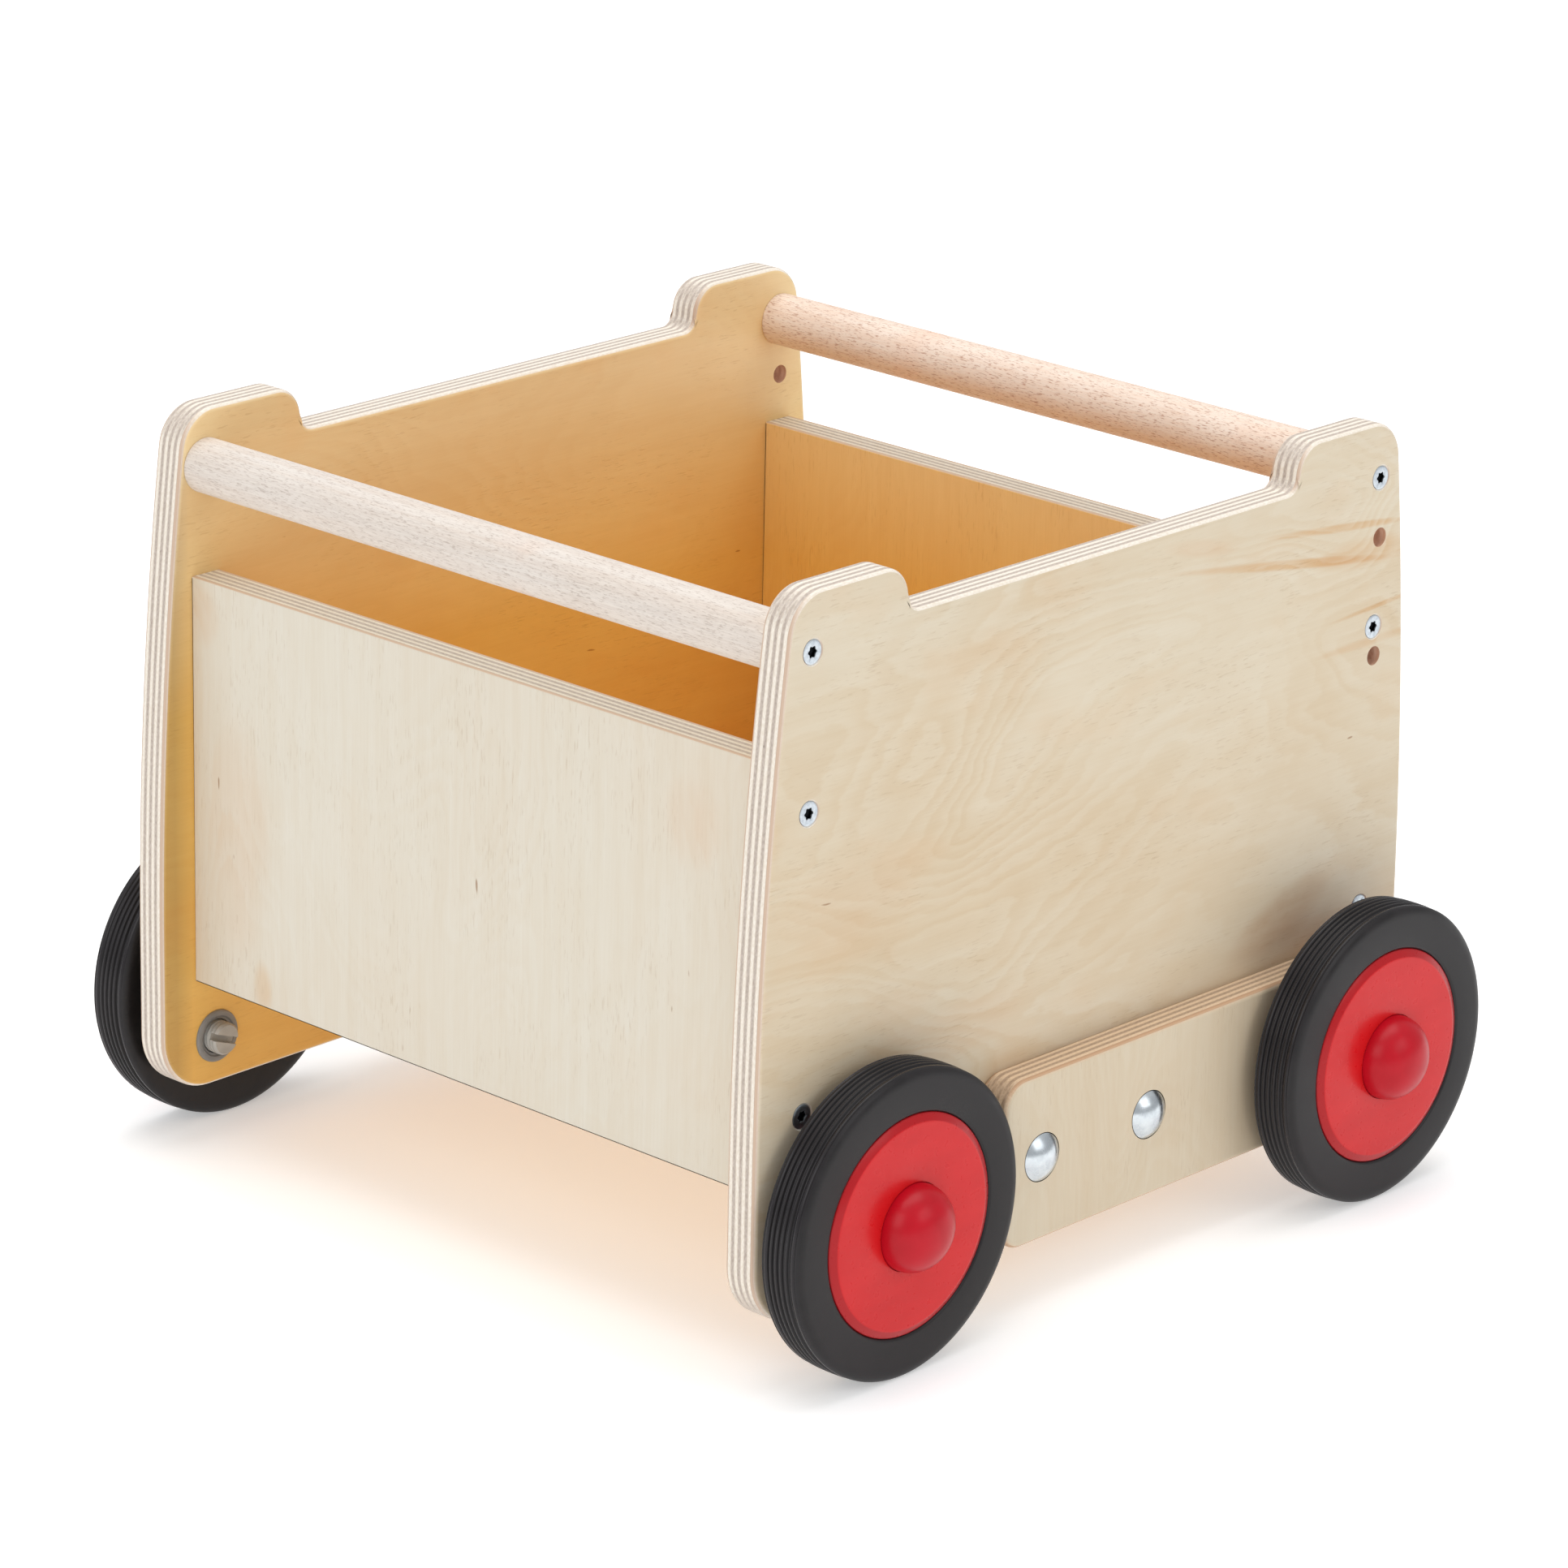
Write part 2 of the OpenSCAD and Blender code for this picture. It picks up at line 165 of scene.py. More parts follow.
def birch_ply(name, axes, middle, thickness, plies, face, warm, seed, inner=None, inner_sign=1,
              figure=1.0, marks=(), bores=(), edge_tint=(1.0, 1.0, 1.0), edge_dark=1.0):
    """Birch plywood as a solid texture. axes are the indices of (face grain, cross grain, thickness);
    middle is the mid-plane's place along the thickness axis. Even plies run with the face grain.
    inner, where given, is the colour of the veneer on the side that faces into the box.
    marks are stains, and painted shadow, on the outer veneer as (grain, cross, grain reach, cross reach,
    slope, strength, colour), bores are drilled holes as (grain, cross, radius). edge_tint and edge_dark shade
    the cut edges."""
    s = Shader(name)
    p = s.place()
    grain, cross, deep = p[axes[0]], p[axes[1]], p[axes[2]]
    offset = s.minus(deep, middle)
    depth = s.minus(thickness / 2, s.math("ABSOLUTE", offset))
    pitch = thickness / plies
    ply = s.math("FLOOR", s.math("DIVIDE", s.plus(depth, 2e-6), pitch))
    ply = s.math("MAXIMUM", ply, 0.0)
    odd = s.math("MODULO", ply, 2.0)
    signed = s.times(ply, s.math("SIGN", offset))
    along = s.mixf(odd, grain, cross)
    across = s.mixf(odd, cross, grain)
    shift = s.times(signed, 0.37)
    if inner:
        shift = s.plus(shift, s.span(s.times(offset, inner_sign), 0.0, SKIN, 0.0, 3.3))
    inside = s.plus(offset, seed)

    def field(along_scale, across_scale, place, **options):
        return s.noise(s.vec(s.times(along, along_scale), s.times(across, across_scale), place),
                       **options)

    # growth layers cut through by the peeling knife: a slow field read off as contour lines
    layer = s.plus(shift, seed)
    slow = field(5.0, 12.0, layer, detail=1.6, rough=0.42, distort=0.45)
    jag = field(52.0, 150.0, layer, detail=3.0, rough=0.62)
    mid = field(17.0, 30.0, s.plus(layer, 4.0), detail=2.0)
    height = s.plus(slow, s.times(s.minus(jag, 0.5), 0.036))
    height = s.plus(height, s.times(s.minus(mid, 0.5), 0.10))
    step = s.math("FRACT", s.times(height, 34.0))
    ring = s.times(s.span(step, 0.0, 0.20, smooth=True), s.span(step, 1.0, 0.18, smooth=True))
    shown = s.span(field(9.0, 13.0, s.plus(layer, 9.0), detail=2.0), 0.38, 0.62)
    ring = s.times(ring, s.plus(0.22, s.times(shown, 0.78)))
    broad_ring = s.span(s.math("FRACT", s.times(height, 7.0)), 0.15, 0.95, smooth=True)

    # fibres and short dark pores
    fibre = s.noise(s.stretch((along, across, inside), (42.0, 1500.0, 900.0)), detail=2.0, rough=0.6)
    broad = s.noise(s.stretch((along, across, inside), (12.0, 220.0, 300.0)), detail=3.0, rough=0.6)
    pore = s.noise(s.stretch((along, across, inside), (210.0, 1900.0, 1100.0)), detail=1.0)
    where = field(24.0, 40.0, seed + 7.0, detail=2.0)
    pore = s.times(s.span(pore, 0.60, 0.72, smooth=True), s.span(where, 0.40, 0.62))
    fleck = field(85.0, 330.0, seed + 11.0, detail=1.0)
    fleck = s.span(fleck, 0.79, 0.83, smooth=True)
    cloud = s.span(field(7.0, 11.0, s.plus(layer, 3.0), detail=3.0, rough=0.55), 0.36, 0.66)
    blush = s.span(field(16.0, 26.0, s.plus(layer, 21.0), detail=3.0, rough=0.6), 0.55, 0.72)
    glow = s.span(field(26.0, 14.0, s.plus(layer, 31.0), detail=4.0, rough=0.65), 0.35, 0.68)

    base = s.mix(cloud, face, warm)
    if inner:
        side = s.span(s.times(offset, inner_sign), 0.0, SKIN)
        deeper = tuple(c * k for c, k in zip(inner, (0.97, 0.90, 0.80)))
        veneer = s.mix(cloud, inner, deeper)
        # painted light: the inner veneer is painted paler towards the top edge, where more light reaches in
        veneer = s.mix(s.span(p[2], 0.150, 0.225, 0.0, 0.85), veneer, INNER_PAINTED_LIGHT)
        # painted shade: the inner veneer is darker on the strip past the front end panel
        veneer = s.darker(veneer, s.span(p[0], -0.140, -0.147), (0.72, 0.74, 0.84))
        base = s.mix(side, base, veneer)
    strong = figure
    if inner:
        strong = s.span(s.times(offset, inner_sign), 0.0, SKIN, figure, 0.45)
    base = s.darker(base, s.times(s.times(broad_ring, 0.22), strong), (0.94, 0.88, 0.78))
    base = s.darker(base, s.times(s.times(ring, 0.38), strong), (0.90, 0.79, 0.64))
    base = s.darker(base, s.times(blush, 0.55 * figure), (1.0, 0.89, 0.79))
    base = s.darker(base, s.times(glow, 0.40 * figure), (0.94, 0.92, 0.89))
    base = s.darker(base, s.span(fibre, 0.30, 0.70, 0.0, 0.36), (0.94, 0.91, 0.86))
    base = s.darker(base, s.span(broad, 0.35, 0.68, 0.0, 0.34), (0.95, 0.90, 0.83))
    base = s.darker(base, s.times(pore, 0.26), (0.64, 0.50, 0.36))
    base = s.darker(base, s.times(fleck, 0.75), (0.45, 0.26, 0.13))
    outer_side = s.span(s.times(offset, -inner_sign), 0.0, SKIN)
    for g, c, reach_g, reach_c, slope, strength, tint in marks:
        run = s.minus(grain, g)
        rise = s.minus(s.minus(cross, c), s.times(run, slope))
        away = s.plus(s.math("POWER", s.math("DIVIDE", run, reach_g), 2.0),
                      s.math("POWER", s.math("DIVIDE", rise, reach_c), 2.0))
        away = s.plus(away, s.times(s.minus(mid, 0.5), 1.6))
        streaky = s.span(s.plus(jag, s.times(ring, 0.3)), 0.30, 0.75, 0.45, 1.0)
        amount = s.times(s.span(away, 1.0, 0.1, 0.0, strength, smooth=True), streaky)
        base = s.darker(base, s.times(amount, outer_side), tint)

    # the edge of the board: pale long-grain plies and darker, greyer end-grain plies, with thin glue lines
    normal = s.normal()
    facing = normal[axes[2]]
    along_n = s.mixf(odd, normal[axes[0]], normal[axes[1]])
    on_edge = s.span(facing, 0.93, 0.80)
    end_grain = s.times(s.span(along_n, 0.25, 0.80), on_edge)
    dots = s.noise(s.stretch((grain, cross, deep), (900.0, 900.0, 2400.0)), detail=2.0)
    shades = ((0.56, 0.48, 0.42), (0.42, 0.345, 0.29))
    dark = s.mix(s.span(dots, 0.35, 0.65), *(tuple(c * edge_dark for c in shade) for shade in shades))
    dark = s.mix(s.span(ply, 0.5, 0.4), dark, tuple(c * edge_dark for c in (0.60, 0.44, 0.33)))
    pale = s.mix(s.span(dots, 0.35, 0.65), (0.87, 0.81, 0.72), (0.78, 0.70, 0.59))
    share = s.math("FRACT", s.math("DIVIDE", s.plus(depth, 2e-6), pitch))
    near = s.math("MINIMUM", share, s.minus(1.0, share))
    narrow = s.math("MAXIMUM", s.span(near, 0.04, 0.22, 0.35, 1.0), s.span(ply, 0.5, 0.4))
    edge = s.mix(s.times(end_grain, narrow), pale, dark)
    glue = s.times(s.span(near, 0.11, 0.02), s.span(depth, pitch * 0.6, pitch * 0.8))
    edge = s.mix(s.times(glue, 0.42), edge, (0.38, 0.25, 0.18))
    # now and then a small open gap in an inner ply
    gap = s.noise(s.stretch((grain, cross, signed), (130.0, 130.0, 3.1)), detail=1.0)
    gap = s.times(s.span(gap, 0.80, 0.83), s.span(ply, 0.5, 1.0))
    edge = s.mix(s.times(gap, 0.8), edge, (0.10, 0.06, 0.04))
    for g, c, r in bores:
        away = s.math("SQRT", s.plus(s.math("POWER", s.minus(grain, g), 2.0),
                                     s.math("POWER", s.minus(cross, c), 2.0)))
        edge = s.mix(s.span(away, r + 0.0006, r + 0.0002, 0.0, 0.6), edge, (0.86, 0.50, 0.33))
    edge = s.mix(1.0, edge, edge_tint, "MULTIPLY")
    color = s.mix(on_edge, base, edge)

    relief = s.plus(s.times(fibre, 0.5), s.times(broad, 0.5))
    relief = s.minus(relief, s.times(pore, 0.8))
    relief = s.minus(relief, s.times(s.times(glue, on_edge), 0.9))
    s.bump(relief, 0.22, 0.00018)
    rough = s.span(broad, 0.3, 0.7, 0.40, 0.52)
    rough = s.mixf(on_edge, rough, 0.66)
    s.set(Base_Color=color, Roughness=rough)
    s.set(Specular_IOR_Level=0.42, Coat_Weight=0.10, Coat_Roughness=0.30)
    return s.mat


def beech(name, seed, pale, deep, fleck_color, fleck_share):
    """Beech dowel along Y: streaked pinkish wood with many short dark ray flecks."""
    s = Shader(name)
    x, y, z = s.place()
    wander = s.noise(s.stretch((x, y, z), (60.0, 6.0, 60.0)), detail=2.0)
    radial = s.plus(s.times(x, 0.8), s.times(z, 0.6))
    radial = s.plus(radial, s.times(wander, 0.004))
    rings = s.noise(s.vec(s.times(radial, 420.0), s.times(y, 3.0), seed), detail=3.0)
    fibre = s.noise(s.stretch((x, y, z), (2400.0, 90.0, 2400.0)), detail=2.0)
    ray = s.noise(s.stretch((x, y, z), (2900.0, 400.0, 2900.0)), detail=2.0, rough=0.6)
    ray = s.span(ray, 0.54, 0.66, smooth=True)
    bend = s.noise(s.stretch((x, y, z), (30.0, 16.0, 30.0)), detail=3.0)
    blush = s.noise(s.vec(s.times(x, 50.0), s.times(y, 28.0), seed + 3.0), detail=2.0)
    color = s.mix(s.span(bend, 0.35, 0.65), pale, deep)
    color = s.darker(color, s.span(rings, 0.42, 0.66, 0.0, 0.35), (0.90, 0.80, 0.72))
    color = s.mix(s.span(fibre, 0.35, 0.65, 0.0, 0.35), color, (0.88, 0.82, 0.75))
    color = s.darker(color, s.span(blush, 0.62, 0.78, 0.0, 0.5), (1.0, 0.84, 0.76))
    color = s.mix(s.times(ray, fleck_share), color, fleck_color)
    s.bump(s.minus(fibre, s.times(ray, 0.8)), 0.30, 0.00012)
    s.set(Base_Color=color, Roughness=s.span(fibre, 0.3, 0.7, 0.58, 0.70), Specular_IOR_Level=0.30)
    return s.mat


def metal(name, color, rough, scale, grain, tint, strength=0.15, shade_below=None):
    """Plated steel: mottled brightness, fine scratches and slightly uneven gloss. Below the distance
    shade_below from the middle plane it is darkened: painted shade deep in a recess."""
    s = Shader(name)
    x, y, z = s.place()
    v = s.vec(x, y, z)
    mottle = s.noise(v, scale=scale, detail=4.0, rough=0.6)
    fine = s.noise(s.vec(s.times(x, grain), y, s.times(z, grain * 0.2)), scale=9.0, detail=3.0)
    base = s.mix(s.span(mottle, 0.35, 0.65), color, tint)
    if shade_below:
        # painted shade: near black deep in the driver recess, where little light reaches
        painted_recess_shade = s.span(s.math("ABSOLUTE", y), shade_below, shade_below - 0.0004)
        base = s.mix(painted_recess_shade, base, (0.030, 0.032, 0.036))
    s.bump(s.plus(s.times(mottle, 0.6), s.times(fine, 0.4)), strength, 0.00006)
    s.set(Base_Color=base, Metallic=1.0, Roughness=s.span(mottle, 0.3, 0.7, rough * 0.75, rough * 1.3))
    return s.mat


def rubber():
    """Black tyre rubber: matte, faintly mottled, with its tread painted a little lighter than the sidewalls
    as a painted sheen.
    """
    s = Shader("tyre_rubber")
    v = s.vec(*s.place())
    mottle = s.noise(v, scale=140.0, detail=5.0, rough=0.65)
    grain = s.noise(v, scale=2600.0, detail=2.0)
    patch = s.noise(v, scale=34.0, detail=3.0)
    tread = s.span(s.normal()[AXLE_WAY], 0.9, 0.5)
    color = s.mix(s.span(mottle, 0.35, 0.68), (0.0085, 0.0072, 0.0078), (0.0150, 0.0128, 0.0138))
    # painted sheen: the tread is painted lighter than the sidewalls, for the light it catches from above
    color = s.mix(tread, color, (0.020, 0.0175, 0.0195))
    scuff = s.times(s.span(patch, 0.58, 0.74), s.span(grain, 0.52, 0.7))
    color = s.mix(s.times(scuff, 0.25), color, (0.070, 0.066, 0.066))
    s.bump(s.plus(s.times(grain, 0.5), s.times(mottle, 0.5)), 0.18, 0.00012)
    s.set(Base_Color=color, Roughness=s.mixf(tread, s.span(mottle, 0.3, 0.7, 0.36, 0.48), 0.24),
          Specular_IOR_Level=0.30)
    return s.mat


def lacquer():
    """Gloss red lacquer over turned plywood: faint turning rings, orange peel, a few specks and painted shade
    on the rounded rim.
    """
    s = Shader("red_lacquer")
    x, y, z = s.place()
    v = s.vec(x, y, z)
    peel = s.noise(v, scale=420.0, detail=2.0)
    wave = s.noise(s.vec(s.times(x, 30.0), y, s.times(z, 90.0)), detail=4.0, rough=0.6)
    speck = s.noise(v, scale=900.0, detail=1.0)
    speck = s.span(speck, 0.82, 0.86)
    color = s.mix(s.span(wave, 0.35, 0.68), (0.640, 0.010, 0.013), (0.585, 0.007, 0.010))
    color = s.mix(s.times(speck, 0.35), color, (0.75, 0.25, 0.22))
    # painted shade: where the surface turns away from the axle, on the rounded rim, the red is painted darker
    color = s.mix(s.span(s.normal()[AXLE_WAY], 0.985, 0.915, 0.0, 0.65), color, (0.320, 0.003, 0.008))
    height = s.plus(s.times(peel, 0.35), s.times(wave, 0.65))
    s.bump(height, 0.16, 0.00022)
    s.set(Base_Color=color, Roughness=s.span(peel, 0.3, 0.7, 0.26, 0.36), Specular_IOR_Level=0.22)
    s.set(Coat_Weight=0.14, Coat_Roughness=0.12)
    return s.mat


def plastic(name, color, shade, rough, coat=0.0, grain=1800.0, strength=0.12, specular=0.5):
    """Moulded plastic: a slight cloud in the colour and a fine moulded skin."""
    s = Shader(name)
    v = s.vec(*s.place())
    cloud = s.noise(v, scale=120.0, detail=3.0)
    skin = s.noise(v, scale=grain, detail=2.0)
    base = s.mix(s.span(cloud, 0.35, 0.65), color, shade)
    s.bump(s.plus(skin, s.times(cloud, 0.5)), strength, 0.00008)
    s.set(Base_Color=base, Roughness=s.span(cloud, 0.3, 0.7, rough * 0.85, rough * 1.15))
    s.set(Specular_IOR_Level=specular, Coat_Weight=coat, Coat_Roughness=0.12)
    return s.mat


# ---------------------------------------------------------------- mesh helpers
def link(name, data):
    obj = bpy.data.objects.new(name, data)
    bpy.context.scene.collection.objects.link(obj)
    return obj


def finish_mesh(bm, name, material, body, nodes=(), flat=(), sharp=35.0):
    """Turns bm into a piece: smooth shading split at sharp edges, riding on its body."""
    bmesh.ops.recalc_face_normals(bm, faces=bm.faces)
    limit = math.radians(sharp)
    for f in bm.faces:
        f.smooth = True
    for e in bm.edges:
        if len(e.link_faces) != 2 or e.calc_face_angle(0.0) > limit:
            e.smooth = False
    for f in flat:
        if f.is_valid:
            f.smooth = False
    mesh = bpy.data.meshes.new(name)
    bm.to_mesh(mesh)
    bm.free()
    mesh.materials.append(material)
    obj = link(name, mesh)
    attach(obj, body)
    if nodes:
        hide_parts(*nodes)
    return obj


def arc(cx, cy, r, start, end, steps):
    """Points of an arc, angles in degrees, both ends included."""
    return [(cx + r * math.cos(math.radians(start + (end - start) * i / steps)),
             cy + r * math.sin(math.radians(start + (end - start) * i / steps))) for i in range(steps + 1)]


def thin_out(points, gap=1e-6):
    """Drops points that repeat the one before, around a closed loop."""
    kept = []
    for p in points:
        if not kept or math.dist(p, kept[-1]) > gap:
            kept.append(p)
    if math.dist(kept[0], kept[-1]) <= gap:
        kept.pop()
    return kept


def loop_normals(points):
    """Unit normals pointing out of the material, for a loop with the material on its left."""
    found = []
    for i, p in enumerate(points):
        a, b = Vector(points[i - 1]), Vector(points[(i + 1) % len(points)])
        e1, e2 = (Vector(p) - a).normalized(), (b - Vector(p)).normalized()
        n = Vector((e1.y + e2.y, -e1.x - e2.x))
        n.normalize()
        found.append(n / max(0.5, n.dot(Vector((e1.y, -e1.x)))))
    return found


def rounded(low, high, r, steps=5):
    """Section of a board's edge from one face to the other, as (inset, height) pairs."""
    down = [(r * (1 - math.sin(a)), low + r * (1 - math.cos(a)))
            for a in (math.pi / 2 * i / steps for i in range(steps + 1))]
    up = [(inset, low + high - h) for inset, h in reversed(down)]
    return down + up


def circle(r, steps):
    turns = (2 * math.pi * i / steps for i in range(steps))
    return [(r * math.cos(a), r * math.sin(a)) for a in turns]


def skin(bm, rings):
    """Faces between each ring of vertices and the next; a ring may be a single point."""
    for a, b in zip(rings, rings[1:]):
        steps = max(len(a), len(b))
        for i in range(steps):
            j = (i + 1) % steps
            if len(a) == 1:
                bm.faces.new((a[0], b[i], b[j]))
            elif len(b) == 1:
                bm.faces.new((a[i], a[j], b[0]))
            else:
                bm.faces.new((a[i], a[j], b[j], b[i]))


def plate(bm, outline, section, holes, place):
    """A board cut to outline, with an edge section per loop. place maps (u, v, height) to the frame.
    Loops have the material on their left. Returns the two flat faces' triangles."""
    loops = [(outline, section)] + list(holes)
    ends = ([], [])
    rims = ([], [])
    for points, profile in loops:
        normals = loop_normals(points)
        rings = []
        for inset, h in profile:
            flat_ring = [(p[0] - n.x * inset, p[1] - n.y * inset) for p, n in zip(points, normals)]
            rings.append([bm.verts.new(place(u, v, h)) for u, v in flat_ring])
        skin(bm, rings)
        for k, (ring, inset) in enumerate(((rings[0], profile[0][0]), (rings[-1], profile[-1][0]))):
            if profile[0 if k == 0 else -1][1] != section[0 if k == 0 else -1][1]:
                f = bm.faces.new(ring)
                ends[k].append(f)
                continue
            rims[k].append((ring, [Vector((p[0] - n.x * inset, p[1] - n.y * inset, 0))
                                   for p, n in zip(points, normals)]))
    flat = list(ends[0]) + list(ends[1])
    for found in rims:
        verts = [v for ring, _ in found for v in ring]
        for tri in tessellate_polygon([co for _, co in found]):
            if len({verts[i] for i in tri}) == 3:
                try:
                    flat.append(bm.faces.new([verts[i] for i in tri]))
                except ValueError:
                    pass
    return flat


def lathe(bm, profile, place, segments=96, closed=True):
    """Turns (radius, distance) pairs about the axis; place maps (a, b, distance) to the frame.
    A radius of 0 is one point on the axis."""
    rings = []
    for r, w in profile:
        ring = circle(r, segments) if r > 1e-7 else [(0.0, 0.0)]
        rings.append([bm.verts.new(place(x, y, w)) for x, y in ring])
    skin(bm, rings + rings[:1] if closed else rings)


def bend(corners, steps=4):
    """A section with its corners rounded: corners are (radius, distance, rounding) in order."""
    out = []
    n = len(corners)
    for i, (r, w, k) in enumerate(corners):
        if k <= 0:
            out.append((r, w))
            continue
        p, a, b = Vector((r, w)), Vector(corners[i - 1][:2]), Vector(corners[(i + 1) % n][:2])
        d1, d2 = (a - p), (b - p)
        k = min(k, 0.49 * d1.length, 0.49 * d2.length)
        s, e = p + d1.normalized() * k, p + d2.normalized() * k
        for j in range(steps + 1):
            t = j / steps
            q = s * (1 - t) ** 2 + p * 2 * t * (1 - t) + e * t ** 2
            out.append((q.x, q.y))
    return out


def outward(side, x, y, z):
    """Maps (a, b, w) to the frame, w standing outward on a side panel at x, |y|, z."""
    sign = SIDES[side]
    return lambda a, b, w: (x + a * sign, sign * (y + w), z + b)


# ---------------------------------------------------------------- places, from the frame
side_lo, side_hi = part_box("side_panel_right")
HALF_IN, HALF_OUT = side_lo.y, side_hi.y
HALF_SIDE = side_hi.x
LOW, TOP = side_lo.z, side_hi.z
SIDE_THICK = HALF_OUT - HALF_IN
end_lo, end_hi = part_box("end_panel_rear")
END_THICK = end_hi.x - end_lo.x
END_MID = (end_lo.x + end_hi.x) / 2
bar_lo, bar_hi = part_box("handle_bar_rear")
BAR_R = (bar_hi.z - bar_lo.z) / 2
BAR_Z = (bar_hi.z + bar_lo.z) / 2
board_lo, board_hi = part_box("axle_board_right")
BOARD_THICK = board_hi.y - board_lo.y
screws_lo, screws_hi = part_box("end_panel_screws")
SCREW_R = 4 * MM
SCREW_Z = [screws_hi.z - SCREW_R, screws_lo.z + SCREW_R]
bolts_lo, bolts_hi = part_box("carriage_bolts")
BOLT_R = (bolts_hi.z - bolts_lo.z) / 2
BOLT_Z = (bolts_hi.z + bolts_lo.z) / 2
BOLT_X = [bolts_lo.x + BOLT_R, bolts_hi.x - BOLT_R]
BOLT_HEAD = bolts_hi.y - board_hi.y
WHEEL_X = {}
for end in ENDS:
    tyre_lo, tyre_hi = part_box(f"tyre_{end}_right")
    WHEEL_X[end] = (tyre_lo.x + tyre_hi.x) / 2
WHEEL_R = (tyre_hi.z - tyre_lo.z) / 2
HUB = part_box("wheel_bush_front_right")[0].y - HALF_OUT
DISC_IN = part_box("wheel_disc_front_right")[0].y - HALF_OUT
DISC_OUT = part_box("wheel_disc_front_right")[1].y - HALF_OUT
TYRE_IN, TYRE_OUT = (corner.y - HALF_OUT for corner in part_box("tyre_front_right"))
PAD_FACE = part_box("brake_pad_right")[1].y - HALF_OUT
CAP_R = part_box("hub_cap_front_right")[1].z - WHEEL_R - 0.05 * MM
bush_lo, bush_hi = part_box("brake_bush_right")
BRAKE_X, BRAKE_Z = (bush_lo.x + bush_hi.x) / 2, (bush_lo.z + bush_hi.z) / 2
BRAKE_FLANGE = HALF_IN - bush_lo.y
AXLE_R = 4 * MM
AXLE_BORE_R, BOLT_BORE_R, SCREW_BORE_R = 4.1 * MM, 3.1 * MM, 2.1 * MM
SLEEVE_BORE = AXLE_R + 0.05 * MM
AXLE_WEB = 1.9 * MM  # wood left at the bottom of an axle's blind hole
EAR_RISE = 15 * MM  # from the side panel's top edge to the top of its ears
BOARD_SOFT = 1.8 * MM  # rounding of the side panels' and axle boards' edges
SEAT_DEPTH = 2 * MM  # how deep a hub cap sits in its disc
HANDLE_HOLES = [(m["pos_m"][0], m["pos_m"][2], m["dims"]["r_mm"] * MM) for m in frame["record"]["mounts"]
                if m["name"].startswith("push_handle_right")]

# ---------------------------------------------------------------- materials
OUTER = (0.714, 0.637, 0.501)
OUTER_WARM = (0.687, 0.578, 0.419)
END_PALE = (0.701, 0.657, 0.564)
END_WARM = (0.692, 0.628, 0.523)
BOARD_PALE = (0.678, 0.596, 0.455)
BOARD_WARM = (0.651, 0.546, 0.400)
STREAK = (0.90, 0.64, 0.38)
# warm brown painted shadow of the rear wheel on the side panel
WHEEL_SHADOW_TINT = (0.70, 0.47, 0.30)
PINK = (0.98, 0.84, 0.74)

SIDE_MARKS = {
    "left": [(0.0850, 0.2138, 0.070, 0.0020, -0.155, 0.80, STREAK),
             (0.1100, 0.2206, 0.040, 0.0017, -0.107, 0.75, STREAK),
             (0.1300, 0.2090, 0.030, 0.0060, -0.060, 0.50, STREAK),
             (0.1350, 0.1900, 0.026, 0.0012, 0.050, 0.75, STREAK),
             (0.0450, 0.2275, 0.022, 0.0040, -0.200, 0.60, PINK),
             (0.1320, 0.1785, 0.030, 0.0020, 0.0, 0.45, STREAK),
             # painted shadow of the rear wheel, warm brown, next to it on the left panel
             (0.0900, 0.0920, 0.030, 0.0120, 0.300, 0.60, WHEEL_SHADOW_TINT),
             (-0.1180, 0.1500, 0.040, 0.0150, 0.0, 0.35, PINK),
             (-0.0750, 0.0950, 0.060, 0.0120, 0.100, 0.40, PINK)],
    "right": [(-0.1050, 0.1950, 0.050, 0.0030, 0.080, 0.70, STREAK),
              (0.0800, 0.1200, 0.050, 0.0060, -0.050, 0.45, STREAK)],
}
END_MARKS = {
    "front": [(0.185, 0.121, 0.012, 0.010, 0.0, 0.50, PINK),
              (0.066, 0.094, 0.012, 0.006, 0.0, 0.65, STREAK),
              (0.172, -0.098, 0.018, 0.014, 0.0, 0.50, PINK),
              (0.110, 0.104, 0.050, 0.018, 0.0, 0.45, PINK)],
    "rear": [(0.090, -0.080, 0.030, 0.012, 0.0, 0.45, STREAK)],
}

ply_side, ply_end, ply_board = {}, {}, {}
for side, sign in SIDES.items():
    ply_side[side] = birch_ply(f"birch_ply_side_{side}", (0, 2, 1), sign * (HALF_IN + HALF_OUT) / 2,
                               SIDE_THICK, PLIES, OUTER, OUTER_WARM, 3.1 + sign, INNER, -sign,
                               marks=SIDE_MARKS[side], bores=HANDLE_HOLES)
for end, sign in ENDS.items():
    ply_end[end] = birch_ply(f"birch_ply_end_{end}", (2, 1, 0), sign * END_MID, END_THICK, PLIES, END_PALE,
                             END_WARM, 8.7 + 2 * sign, INNER, -sign, figure=0.30, marks=END_MARKS[end],
                             edge_dark=1.12, edge_tint=(0.98, 0.98, 0.93))
